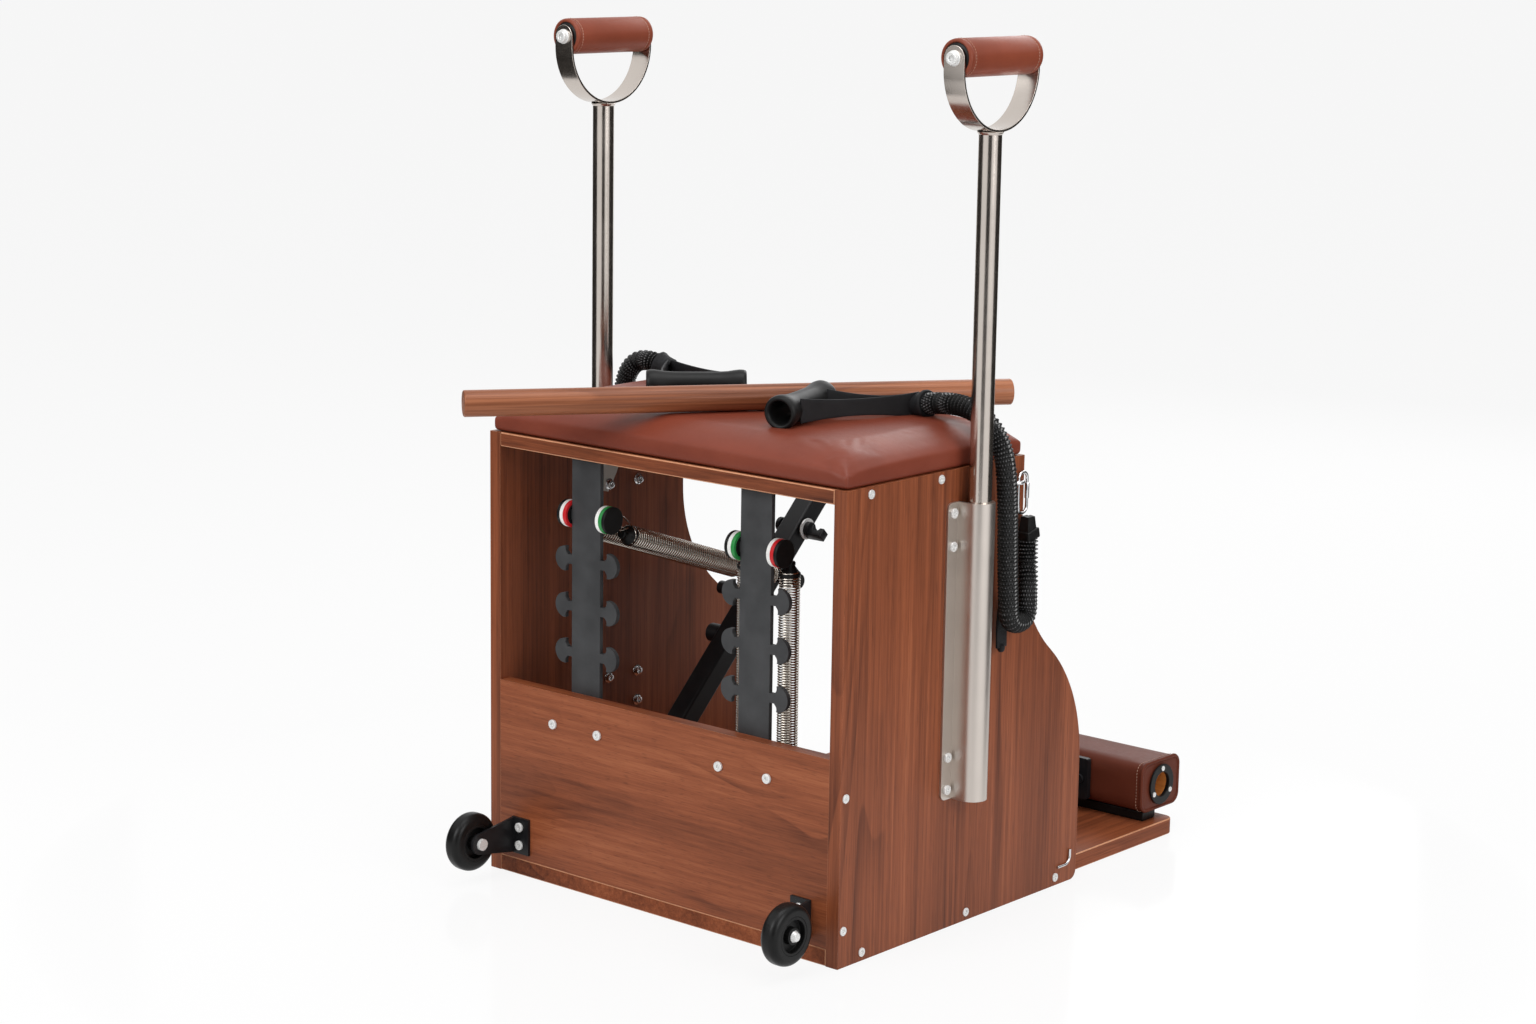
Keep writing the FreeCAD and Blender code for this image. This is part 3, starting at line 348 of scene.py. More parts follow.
def stretched(tree, vector, scale):
    return add(tree, "ShaderNodeVectorMath", {"operation": "MULTIPLY"}, i0=vector, i1=scale).outputs[0]


def noise(tree, vector, scale, detail=3.0, roughness=0.5, distortion=0.0):
    return add(tree, "ShaderNodeTexNoise", Vector=vector, Scale=scale, Detail=detail, Roughness=roughness,
               Distortion=distortion).outputs["Fac"]


def remap(tree, value, low, high, to_low=0.0, to_high=1.0):
    return add(tree, "ShaderNodeMapRange", {"clamp": True}, i0=value, i1=low, i2=high, i3=to_low,
               i4=to_high).outputs[0]


def mix_colour(tree, factor, first, second):
    colours = [part if isinstance(part, bpy.types.NodeSocket) else (*part, 1.0) for part in (first, second)]
    return add(tree, "ShaderNodeMix", {"data_type": "RGBA"}, i0=factor, i6=colours[0],
               i7=colours[1]).outputs[2]


def object_coordinates(tree):
    return tree.nodes.new("ShaderNodeTexCoord").outputs["Object"]


def bump(tree, shader, height, strength, distance):
    node = add(tree, "ShaderNodeBump", Height=height, Strength=strength, Distance=distance)
    tree.links.new(node.outputs["Normal"], shader.inputs["Normal"])


print("material helpers ready")

# %% [markdown]
# The boards are reddish walnut. Its figure comes from growth rings cut at a slant: contour
# lines of a noise that is stretched along the grain look just like that. Fine streaks and
# short dark pores lie along the same direction, and all three go into one shared group.

# %% Wood grain group
RING_COUNT = 22.0
PATCH_SHARE = 0.85
STREAK_SHARE = 0.75
HAIR_SHARE = 0.25
RING_SHARE = 0.30

wood_group, wood_in, wood_out = new_group("wood_grain", ("Tone", "Pores"), Figure=1.0)


def along_grain(stretch, detail, roughness=0.5, distortion=0.0):
    place = stretched(wood_group, wood_in["Vector"], stretch)
    return noise(wood_group, place, 1.0, detail, roughness, distortion)


broad = along_grain((6.0, 6.0, 0.7), 2.0, 0.45, 0.25)
figured = math_node(wood_group, "MULTIPLY", broad, wood_in["Figure"])
rings = math_node(wood_group, "FRACT", math_node(wood_group, "MULTIPLY", figured, RING_COUNT))
late_wood = math_node(wood_group, "MULTIPLY", remap(wood_group, rings, 0.35, 0.93),
                      remap(wood_group, rings, 0.95, 1.0, 1.0, 0.0))
zones = along_grain((16.0, 16.0, 1.6), 2.0)
late_wood = math_node(wood_group, "MULTIPLY", late_wood, remap(wood_group, zones, 0.44, 0.72))
streaks = along_grain((150.0, 150.0, 2.0), 4.0, 0.6)
hair = along_grain((600.0, 600.0, 8.0), 2.0)
patches = along_grain((11.0, 11.0, 0.4), 2.0)
tone = math_node(wood_group, "MULTIPLY", patches, PATCH_SHARE)
for layer, share in ((streaks, STREAK_SHARE), (hair, HAIR_SHARE), (late_wood, -RING_SHARE)):
    tone = math_node(wood_group, "ADD", tone, math_node(wood_group, "MULTIPLY", layer, share))
tone = remap(wood_group, tone, 0.46, 1.26)
pores = remap(wood_group, along_grain((800.0, 800.0, 26.0), 1.0), 0.60, 0.74)
wood_group.links.new(tone, wood_out["Tone"])
wood_group.links.new(pores, wood_out["Pores"])
print("wood grain group with", len(wood_group.nodes), "nodes")

# %% [markdown]
# One function turns the grain into a finished wood: a ramp gives the colours, the pores are darker
# and sunk a little, and the gloss follows the tone. Grain that lies along X or Y is turned first.

# %% Wood materials
PORE_SHADE = 0.45
PORE_BUMP = (0.12, 0.0003)


def wood_material(name, turn, stops, figure=1.0, roughness=0.36, shift=(0.0, 0.0, 0.0), sway=(1.0, 1.0, 1.0),
                  gloss_level=0.22):
    material, tree, shader = start_material(name, Specular_IOR_Level=gloss_level)
    place = add(tree, "ShaderNodeMapping", {"vector_type": "POINT"}, Vector=object_coordinates(tree),
                Rotation=turn, Location=shift, Scale=sway).outputs[0]
    grain = shared(tree, wood_group, place, Figure=figure)
    colour = ramp(tree, grain["Tone"], stops)
    pore_shade = math_node(tree, "MULTIPLY", grain["Pores"], PORE_SHADE)
    colour = mix_colour(tree, pore_shade, colour, stops[0][1])
    tree.links.new(colour, shader.inputs["Base Color"])
    gloss = remap(tree, grain["Tone"], 0.0, 1.0, roughness + 0.10, roughness)
    tree.links.new(gloss, shader.inputs["Roughness"])
    bump(tree, shader, math_node(tree, "SUBTRACT", 1.0, grain["Pores"]), *PORE_BUMP)
    return material


WALNUT_STOPS = ((0.0, (0.050, 0.013, 0.006)), (0.35, (0.155, 0.041, 0.016)), (0.7, (0.265, 0.073, 0.028)),
                (1.0, (0.36, 0.112, 0.046)))
# Much lighter walnut for the rounded board edges: it paints a highlight along every edge.
EDGE_HIGHLIGHT_STOPS = ((0.0, (0.40, 0.165, 0.080)), (0.5, (0.58, 0.27, 0.145)), (1.0, (0.68, 0.34, 0.19)))
ALONG_X = (0.0, math.radians(90), 0.0)
ALONG_Y = (math.radians(90), 0.0, 0.0)
walnut_upright = wood_material("walnut_upright", (0, 0, 0), WALNUT_STOPS, 0.8)
walnut_across = wood_material("walnut_across", ALONG_X, WALNUT_STOPS, 1.0, shift=(0.4, 0.9, 0.3),
                              sway=(2.4, 1.0, 1.0))
walnut_deep = wood_material("walnut_deep", ALONG_Y, WALNUT_STOPS, 0.7, shift=(0.2, 0.1, 0.7),
                            gloss_level=0.12)
# This lighter material paints the highlight on the rounded edges of the boards.
walnut_edge_highlight = wood_material("walnut_edge_highlight", (0, 0, 0), EDGE_HIGHLIGHT_STOPS, 1.0)
ORANGE_STOPS = ((0.0, (0.42, 0.13, 0.025)), (0.5, (0.60, 0.22, 0.050)), (1.0, (0.72, 0.30, 0.085)))
orange_wood = wood_material("orange_wood", ALONG_X, ORANGE_STOPS, 1.0, 0.40)
print("walnut in three directions, its edges, and orange wood")

# %% [markdown]
# Leather has a fine pebble, a slow drift of colour where the hide was dyed and rubbed, and a
# soft sheen. Cells from a Voronoi texture give the pebble and noise gives the drift.

# %% Leather group and materials
leather_group, leather_in, leather_out = new_group("leather_skin", ("Drift", "Height"), Pebbles=900.0)
skin_place = leather_in["Vector"]
cells = add(leather_group, "ShaderNodeTexVoronoi", {"feature": "SMOOTH_F1"}, Vector=skin_place,
            Scale=leather_in["Pebbles"], Smoothness=0.6).outputs["Distance"]
creases = noise(leather_group, skin_place, 160.0, 4.0, 0.55)
drift = noise(leather_group, skin_place, 9.0, 4.0, 0.6)
height = math_node(leather_group, "ADD", math_node(leather_group, "MULTIPLY", cells, 0.6),
                   math_node(leather_group, "MULTIPLY", creases, 0.7))
leather_group.links.new(remap(leather_group, drift, 0.3, 0.7), leather_out["Drift"])
leather_group.links.new(height, leather_out["Height"])


def leather_material(name, dark, light, roughness, pebbles=900.0, depth=0.0002, gloss_level=0.24):
    material, tree, shader = start_material(name, Specular_IOR_Level=gloss_level)
    skin = shared(tree, leather_group, object_coordinates(tree), Pebbles=pebbles)
    tree.links.new(mix_colour(tree, skin["Drift"], dark, light), shader.inputs["Base Color"])
    tree.links.new(remap(tree, skin["Height"], 0.2, 0.9, roughness - 0.05, roughness + 0.08),
                   shader.inputs["Roughness"])
    bump(tree, shader, skin["Height"], 0.18, depth)
    return material


seat_leather = leather_material("seat_leather", (0.165, 0.034, 0.018), (0.215, 0.047, 0.025), 0.38)
pedal_hide = leather_material("pedal_leather", (0.100, 0.023, 0.012), (0.135, 0.032, 0.017), 0.44,
                              gloss_level=0.13)
grip_hide = leather_material("grip_leather", (0.190, 0.040, 0.019), (0.250, 0.056, 0.027), 0.38)
pale_thread = leather_material("pale_thread", (0.42, 0.24, 0.17), (0.52, 0.32, 0.24), 0.55, 2500.0, 0.0001)
print("leather for seat, pedals and grips")

# %% [markdown]
# Satin stainless tube shows fine lines from the polishing belt. Noise that is squeezed across
# the lines and stretched along them breaks up the gloss in the same way. The painted steel has
# the slight orange peel of powder coat, and moulded plastic a finer version of it.

# %% Metal and plastic groups
line_group, line_in, line_out = new_group("polish_lines", ("Lines", "Smudge"))
belt_place = stretched(line_group, line_in["Vector"], (40.0, 40.0, 2600.0))
line_group.links.new(noise(line_group, belt_place, 1.0, 2.0), line_out["Lines"])
line_group.links.new(noise(line_group, line_in["Vector"], 22.0, 3.0), line_out["Smudge"])

coat_group, coat_in, coat_out = new_group("orange_peel", ("Peel", "Dust"), Size=700.0)
coat_group.links.new(noise(coat_group, coat_in["Vector"], coat_in["Size"], 2.0),
                     coat_out["Peel"])
coat_group.links.new(remap(coat_group, noise(coat_group, coat_in["Vector"], 30.0, 4.0), 0.35, 0.75),
                     coat_out["Dust"])


def metal_material(name, colour, roughness, spread=0.10, lines=0.10, metallic=1.0):
    material, tree, shader = start_material(name, Metallic=metallic)
    polish = shared(tree, line_group, object_coordinates(tree))
    shade = mix_colour(tree, polish["Smudge"], [part * 0.90 for part in colour], colour)
    tree.links.new(shade, shader.inputs["Base Color"])
    rough = math_node(tree, "ADD", remap(tree, polish["Lines"], 0.3, 0.7, -spread / 2, spread / 2),
                      remap(tree, polish["Smudge"], 0.3, 0.7, roughness - 0.03, roughness + 0.03))
    tree.links.new(rough, shader.inputs["Roughness"])
    bump(tree, shader, polish["Lines"], lines, 0.00005)
    return material


def coat_material(name, colour, roughness, size=700.0, depth=0.0001, gloss_level=0.26):
    material, tree, shader = start_material(name, Specular_IOR_Level=gloss_level)
    coat = shared(tree, coat_group, object_coordinates(tree), Size=size)
    paler = [part * 1.35 + 0.004 for part in colour]
    tree.links.new(mix_colour(tree, coat["Dust"], colour, paler), shader.inputs["Base Color"])
    tree.links.new(remap(tree, coat["Dust"], 0.0, 1.0, roughness, roughness + 0.10),
                   shader.inputs["Roughness"])
    bump(tree, shader, coat["Peel"], 0.2, depth)
    return material


satin_steel = metal_material("satin_steel", (0.65, 0.59, 0.54), 0.36, spread=0.08, lines=0.06)
tube_steel = metal_material("tube_steel", (0.62, 0.56, 0.51), 0.20, spread=0.05, lines=0.03)
bright_steel = metal_material("bright_steel", (0.72, 0.72, 0.73), 0.16, spread=0.04, lines=0.03)
zinc_plate = metal_material("zinc_plate", (0.80, 0.80, 0.79), 0.28, spread=0.04, lines=0.02, metallic=0.25)
nickel_wire = metal_material("nickel_wire", (0.70, 0.65, 0.58), 0.16, spread=0.03, lines=0.02)
turned_steel = metal_material("turned_steel", (0.45, 0.45, 0.46), 0.32)
charcoal_coat = coat_material("charcoal_coat", (0.040, 0.041, 0.043), 0.42)
black_coat = coat_material("black_coat", (0.008, 0.008, 0.009), 0.34)
black_plastic = coat_material("black_plastic", (0.005, 0.005, 0.005), 0.36, 1500.0, 0.00006, 0.18)
black_rubber = coat_material("black_rubber", (0.004, 0.004, 0.004), 0.30, 900.0, 0.00006, 0.20)
red_plastic = coat_material("red_plastic", (0.50, 0.012, 0.016), 0.30, 1500.0, 0.00004)
green_plastic = coat_material("green_plastic", (0.020, 0.22, 0.050), 0.30, 1500.0, 0.00004)
white_plastic = coat_material("white_plastic", (0.75, 0.75, 0.73), 0.32, 1500.0, 0.00004)
print("metals, coats and plastics ready")

# %% [markdown]
# The bands and straps are black woven fabric. On a band the rows of threads follow its length, so
# the weave reads the band's own UV map: metres along and turns around, and the thread tops are
# painted paler as a painted highlight. On the straps two crossed sets of waves make over-and-under
# threads; the height drives a bump and paints the crests lighter as a painted highlight, so the
# valleys stay darker.

# %% Weave group and fabrics
weave_group, weave_in, weave_out = new_group("weave", ("Height", "Fuzz"), Threads=1400.0)


def thread_waves(place):
    return add(weave_group, "ShaderNodeTexWave", {"wave_type": "BANDS", "bands_direction": "DIAGONAL"},
               Vector=place, Scale=weave_in["Threads"], Distortion=0.6, Detail=1.0).outputs["Fac"]


warp = thread_waves(weave_in["Vector"])
weft = thread_waves(stretched(weave_group, weave_in["Vector"], (1.0, -1.0, -1.0)))
weave_group.links.new(math_node(weave_group, "MAXIMUM", warp, weft), weave_out["Height"])
weave_group.links.new(noise(weave_group, weave_in["Vector"], 60.0, 4.0), weave_out["Fuzz"])


def fabric_material(name, dark, light, threads):
    material, tree, shader = start_material(name, Roughness=0.55, Specular_IOR_Level=0.20)
    cloth = shared(tree, weave_group, object_coordinates(tree), Threads=threads)
    # The crests of the threads are painted lighter than the valleys: a painted highlight.
    factor = math_node(tree, "MULTIPLY", cloth["Height"], cloth["Fuzz"])
    tree.links.new(mix_colour(tree, factor, dark, light), shader.inputs["Base Color"])
    bump(tree, shader, cloth["Height"], 0.5, 0.0005)
    return material


ROW_PITCH = 0.0048
SEAM_AT = 0.41
SEAM_HALF_WIDTH = 0.013
THREADS_ROUND = 22


def band_material(name, dark, light, thread):
    """Rows of short threads round a band, each set off by half a thread, and a seam along it; the thread tops
    are painted paler as a painted highlight.
    """
    material, tree, shader = start_material(name, Roughness=0.50, Specular_IOR_Level=0.25)
    place = add(tree, "ShaderNodeUVMap", {"uv_map": "along_around"}).outputs[0]
    parts = add(tree, "ShaderNodeSeparateXYZ", Vector=place)
    rows = math_node(tree, "DIVIDE", parts.outputs[0], ROW_PITCH)
    offset = math_node(tree, "MULTIPLY", math_node(tree, "MODULO", math_node(tree, "FLOOR", rows), 2.0), 0.5)
    threads = math_node(tree, "ADD", math_node(tree, "MULTIPLY", parts.outputs[1], THREADS_ROUND), offset)
    ridge = math_node(tree, "PINGPONG", rows, 0.5)
    swell = math_node(tree, "PINGPONG", threads, 0.5)
    height = math_node(tree, "MULTIPLY", math_node(tree, "MULTIPLY", ridge, swell), 4.0)
    fuzz = noise(tree, object_coordinates(tree), 240.0, 3.0)
    # The tops of the threads are painted paler than the black between them: a painted highlight.
    thread_highlight = remap(tree, math_node(tree, "MULTIPLY", height, fuzz), 0.18, 0.48)
    from_seam = math_node(tree, "ABSOLUTE", math_node(tree, "SUBTRACT", parts.outputs[1], SEAM_AT))
    seam = remap(tree, from_seam, SEAM_HALF_WIDTH, SEAM_HALF_WIDTH * 1.4, 1.0, 0.0)
    sewn = math_node(tree, "MULTIPLY", seam, remap(tree, ridge, 0.14, 0.26))
    colour = mix_colour(tree, sewn, mix_colour(tree, thread_highlight, dark, light), thread)
    tree.links.new(colour, shader.inputs["Base Color"])
    bump(tree, shader, height, 0.9, 0.0014)
    return material


band_weave = band_material("band_weave", (0.003, 0.003, 0.003), (0.170, 0.170, 0.175), (0.30, 0.30, 0.30))
strap_weave = fabric_material("strap_weave", (0.005, 0.005, 0.006), (0.020, 0.020, 0.022), 500.0)
print("band and strap fabric ready")

# %% [markdown]
# Each elastic band is a rubber core in a woven black sleeve. It runs from the stirrup on the
# seat, over the side and down to a loop, and back up to its clip. One smooth spline through the
# route gives the line; the sleeve is a tube of rings along it whose size swells and shrinks,
# finely where the sleeve is stretched and in deep ruffles where it is gathered at the ends.

# %% Bands
BAND_RADIUS = 0.0126
BAND_STEP = 0.00065
BAND_SIDES = 18
START_GATHER = 0.19
END_GATHER = 0.085
GATHER_RISE = 1.6
GATHER_SHRINK = 0.05
FINE_SWELL = 0.048
RUFFLE_SWELL = 0.150
RUFFLE_PITCH = 0.0054
DRIFT_SIZE = 1.4
DRIFT_RATE = 90.0
BAND_ROUTES = {
    "right": ((-0.196, -0.024, 0.641), (-0.240, -0.018, 0.650), (-0.288, -0.019, 0.642),
              (-0.319, -0.026, 0.602), (-0.322, -0.032, 0.540), (-0.321, -0.036, 0.470),
              (-0.321, -0.040, 0.415), (-0.321, -0.044, 0.378), (-0.321, -0.080, 0.378),
              (-0.319, -0.083, 0.414), (-0.308, -0.095, 0.452), (-0.307, -0.096, 0.475)),
    "left": ((0.262, -0.044, 0.637), (0.288, -0.040, 0.646), (0.314, -0.034, 0.632),
             (0.325, -0.032, 0.590), (0.325, -0.033, 0.530), (0.322, -0.036, 0.470),
             (0.321, -0.040, 0.415), (0.321, -0.044, 0.378), (0.321, -0.080, 0.378),
             (0.319, -0.083, 0.414), (0.308, -0.095, 0.452), (0.307, -0.096, 0.475)),
}


def running_length(points):
    """How far along a line each of its points lies."""
    run = [0.0]
    for first, second in zip(points, points[1:]):
        run.append(run[-1] + (second - first).length)
    return run


def even_spots(points, spacing):
    """Evenly spaced spots on a line, each a point's index and the share of the way to the next."""
    run = running_length(points)
    count = max(2, round(run[-1] / spacing))
    spots = []
    index = 0
    for step in range(count + 1):
        target = run[-1] * step / count
        while index < len(run) - 2 and run[index + 1] < target:
            index += 1
        part = (target - run[index]) / max(run[index + 1] - run[index], 1e-9)
        spots.append((index, min(part, 1.0)))
    return spots, run[-1]


def spline_points(points, spacing, closed=False):
    """Evenly spaced points of the smooth spline through a route."""
    curve = bpy.data.curves.new("route", "CURVE")
    curve.dimensions = "3D"
    curve.resolution_u = 40
    spline = curve.splines.new("NURBS")
    spline.points.add(len(points) - 1)
    for control, place in zip(spline.points, points):
        control.co = (*place, 1.0)
    spline.order_u = 3
    if closed:
        spline.use_cyclic_u = True
    else:
        spline.use_endpoint_u = True
    holder = bpy.data.objects.new("route", curve)
    sampled = bpy.data.meshes.new_from_object(holder)
    dense = [vert.co.copy() for vert in sampled.vertices]
    bpy.data.objects.remove(holder)
    bpy.data.curves.remove(curve)
    bpy.data.meshes.remove(sampled)
    if closed:
        dense.append(dense[0].copy())
    spots, length = even_spots(dense, spacing)
    places = [dense[index].lerp(dense[index + 1], part) for index, part in spots]
    return (places[:-1] if closed else places), length


def tube(name, places, size_at, sides, closed=False):
    """A closed tube of rings along a line, with a UV map of metres along and turns around."""
    shape = bmesh.new()
    uv_map = shape.loops.layers.uv.new("along_around")
    rings = []
    count = len(places)
    run = running_length(places)
    side_way = None
    for index, place in enumerate(places):
        before = places[(index - 1) % count] if closed else places[max(index - 1, 0)]
        after = places[(index + 1) % count] if closed else places[min(index + 1, count - 1)]
        ahead = (after - before).normalized()
        if side_way is None:
            side_way = ahead.orthogonal().normalized()
        side_way = (side_way - ahead * side_way.dot(ahead)).normalized()
        over_way = ahead.cross(side_way)
        size = size_at(run[index])
        ring = []
        for side in range(sides):
            angle = 2 * math.pi * side / sides
            out = side_way * math.cos(angle) + over_way * math.sin(angle)
            ring.append(shape.verts.new(place + out * size))
        rings.append(ring)
    pairs = list(zip(range(count - 1), range(1, count)))
    if closed:
        pairs.append((count - 1, 0))
        run.append(run[-1] + (places[0] - places[-1]).length)
    for low, high in pairs:
        for side in range(sides):
            other = (side + 1) % sides
            corners = (rings[low][side], rings[low][other], rings[high][other], rings[high][side])
            face = shape.faces.new(corners)
            near, far = run[low], run[low + 1]
            spots = ((near, side), (near, side + 1), (far, side + 1), (far, side))
            for loop, (along, around) in zip(face.loops, spots):
                loop[uv_map].uv = (along, around / sides)
            face.smooth = True
    if not closed:
        shape.faces.new(list(reversed(rings[0])))
        shape.faces.new(rings[-1])
    bmesh.ops.recalc_face_normals(shape, faces=shape.faces)
    mesh = bpy.data.meshes.new(name)
    shape.to_mesh(mesh)
    shape.free()
    piece = bpy.data.objects.new(name, mesh)
    scene.collection.objects.link(piece)
    return piece


def sleeve_size(length):
    """The sleeve's radius along a band of the given length: fine rows, and ruffles near both ends."""
    def size_at(run):
        near_end = max(0.0, 1.0 - run / START_GATHER, 1.0 - (length - run) / END_GATHER)
        gather = min(1.0, near_end * GATHER_RISE)
        fine = FINE_SWELL * math.sin(2 * math.pi * run / ROW_PITCH)
        drift = DRIFT_SIZE * math.sin(run * DRIFT_RATE)
        deep = RUFFLE_SWELL * math.sin(2 * math.pi * run / RUFFLE_PITCH + drift)
        return BAND_RADIUS * (1.0 - GATHER_SHRINK * gather + (1.0 - gather) * fine + gather * deep)
    return size_at


bands = {}
for side, route in BAND_ROUTES.items():
    places, length = spline_points([Vector(point) for point in route], BAND_STEP)
    band = tube("band_sleeve_" + side, places, sleeve_size(length), BAND_SIDES)
    finish_piece(band, "band_sleeve_" + side, band_weave, "carcass", ("band_" + side,))
    bands[side] = (band, places, length)
    print("band", side, "length", round(length, 4))

# %% [markdown]
# A stirrup hangs on each band: a hollow hand grip with flared mouths, and a strap that runs from
# both ends of the grip to a collar on the band. The grip is one profile spun about its axis. The
# strap legs are strips on edge, high at both ends and waisted between, given thickness by Solidify.

# %% Stirrup grips and straps
GRIP_ENDS = {"right": ((-0.1332, 0.1793, 0.6452), (-0.1062, 0.0633, 0.6497)),
             "left": ((0.146, 0.113, 0.6430), (0.052, 0.026, 0.6440))}
GRIP_SCALE = {"right": 1.0, "left": 0.84}
GRIP_PROFILE = ((0.0120, 0.034), (0.0138, 0.012), (0.0143, 0.004), (0.0158, 0.0008), (0.0182, 0.0),
                (0.0203, 0.0012), (0.0213, 0.0046), (0.0214, 0.0095), (0.0205, 0.0160), (0.0190, 0.0240),
                (0.0182, 0.036), (0.0180, 0.050))
LEG_LEAN = 0.024
LEG_BOW = 0.006
LEG_HEIGHTS = (0.031, 0.021, 0.033)
LEG_THICK = 0.0026
LEG_STATIONS = 28
KNOT_REACH = 0.010
COLLAR_PROFILE = ((0.0112, -0.004), (0.0162, -0.0045), (0.0175, -0.0030), (0.0175, -0.0005), (0.0166, 0.0015),
                  (0.0154, 0.0060), (0.0150, 0.0120), (0.0150, 0.0165), (0.0140, 0.0175), (0.0112, 0.0175),
                  (0.0112, -0.004))
COLLAR_BACK = 0.003
COLLAR_AHEAD = 0.02


def spun(name, profile, start, end, steps=40):
    """A profile of (radius, distance along) spun about the line from start to end."""
    piece = new_piece(name, [(radius, 0.0, along) for radius, along in profile],
                      [(index, index + 1) for index in range(len(profile) - 1)], [])
    edit_all(piece)
    bpy.ops.mesh.spin(steps=steps, angle=2 * math.pi, center=(0, 0, 0), axis=(0, 0, 1))
    leave_edit()
    outward(piece)
    piece.matrix_world = standing_at(start, end - start)
    place_in_mesh(piece)
    return smooth(piece, 50)


def both_ends(half, length):
    """A closed profile from the half at one end, mirrored to the other end."""
    return [*half, *[(radius, length - along) for radius, along in reversed(half)], half[0]]


def strap_leg(start, end, bow, heights):
    """A strip on edge from start to end that bows sideways, its height given at both ends and the waist."""
    leg = made(bpy.ops.mesh.primitive_grid_add, x_subdivisions=LEG_STATIONS, y_subdivisions=6, size=1.0)
    run = end - start
    flat = Vector((run.x, run.y, 0)).normalized()
    aside = Vector((-flat.y, flat.x, 0))
    for vert in leg.data.vertices:
        share = vert.co.x + 0.5
        waist = 1.0 - math.sin(math.pi * share) ** 0.8
        ends = heights[0] * (1.0 - share) + heights[2] * share
        tall = heights[1] + (ends - heights[1]) * waist
        sideways = aside * (bow * math.sin(math.pi * share))
        vert.co = start + run * share + sideways + Vector((0, 0, vert.co.y * tall))
    modify(leg, "SOLIDIFY", thickness=LEG_THICK, offset=0.0)
    round_edges(leg, LEG_THICK * 0.3, 2, 60)
    return smooth(leg, 40)


grip_meshes = []
for side, (back, front) in GRIP_ENDS.items():
    start, end = Vector(back), Vector(front)
    half = [(radius * GRIP_SCALE[side], along) for radius, along in GRIP_PROFILE]
    profile = both_ends(half, (end - start).length)
    grip_meshes.append(spun("stirrup_grip_" + side, profile, start, end))
    places = bands[side][1]
    collar_middle = places[0]
    way = (places[0] - places[6]).normalized()
    run = (end - start).normalized()
    toward = Vector((run.y, -run.x, 0))
    if toward.dot(collar_middle - start) < 0:
        toward = -toward
    parts = []
    knot = collar_middle + way * KNOT_REACH
    heights = [tall * GRIP_SCALE[side] for tall in LEG_HEIGHTS]
    for foot, lean, bow in ((start, LEG_LEAN, LEG_BOW), (end, -LEG_LEAN, -LEG_BOW)):
        begin = foot + run * lean + toward * (half[-1][0] - LEG_THICK / 2)
        parts.append(strap_leg(begin, knot, bow, heights))
    parts.append(spun("collar", COLLAR_PROFILE, collar_middle - way * COLLAR_BACK,
                      collar_middle + way * COLLAR_AHEAD))
    finish_joined(parts, "stirrup_strap_" + side, strap_weave, "carcass",
                  ("band_strap_" + side,))
finish_joined(grip_meshes, "stirrup_grips", black_plastic, "carcass", ("band_grips",))
print("stirrups done")

# %% [markdown]
# Low on each band a black buckle and its clasp close the sleeve, and a polished link hangs it on the
# eye in the side board. The link is a round bar bent into a long loop, so a tube along a closed line
# makes it. Buckle and clasp are boxes, tapered and rounded, and a strap tail hangs beside the near one.

# %% Links and buckles
BUCKLE_SIZE = (0.017, 0.021)
BUCKLE_LIMIT = 0.0215
CLASP_SHIFT = Vector((0, -0.0015, -0.0085))
CLASP_TURN = (math.radians(-13), 0, 0)
CLASP_SIZE = (0.0195, 0.0240, 0.0130)
LINK_WIRE = 0.0020
LINK_POINTS = 24
LINK_STEP = 0.0016
GATE_RADIUS = 0.0030
GATE_LENGTH = 0.020
GATE_RISE = 0.002
TAIL_TOP = Vector((-0.3060, -0.0530, 0.408))
TAIL_LENGTH = 0.062
TAIL_WIDTH = 0.020
TAIL_THICK = 0.0032
TAIL_SWAY = 0.0022
TAIL_SWEEP = 0.004
KNOB_DROP = 0.006
KNOB_PROFILE = ((0.0, 0.0), (0.0030, 0.0006), (0.0046, 0.0030), (0.0050, 0.0062),
                (0.0042, 0.0094), (0.0, 0.0104))


def block(size, place, turn=(0, 0, 0)):
    piece = made(bpy.ops.mesh.primitive_cube_add, size=1.0, location=place, rotation=turn)
    piece.scale = size
    return place_in_mesh(piece)


def make_buckle(low, high):
    """A box with a narrow hollow top and sunk faces, and the clasp under it."""
    middle = (low + high) / 2
    buckle = block((*BUCKLE_SIZE, high.z - low.z), middle)
    pick_faces(buckle, lambda place, normal: normal.z > 0.9)
    bpy.ops.transform.resize(value=(0.72, 0.62, 1.0))
    bpy.ops.mesh.inset(thickness=0.0016, depth=-0.0012)
    leave_edit()
    pick_faces(buckle, lambda place, normal: abs(normal.y) > 0.6)
    bpy.ops.mesh.inset(thickness=0.0030, depth=-0.0009)
    leave_edit()
    round_edges(buckle, 0.0011, 3, 30)
    clasp = block(CLASP_SIZE, middle + CLASP_SHIFT, CLASP_TURN)
    round_edges(clasp, 0.0018, 3, 30)
    return [smooth(buckle, 40), smooth(clasp, 40)]


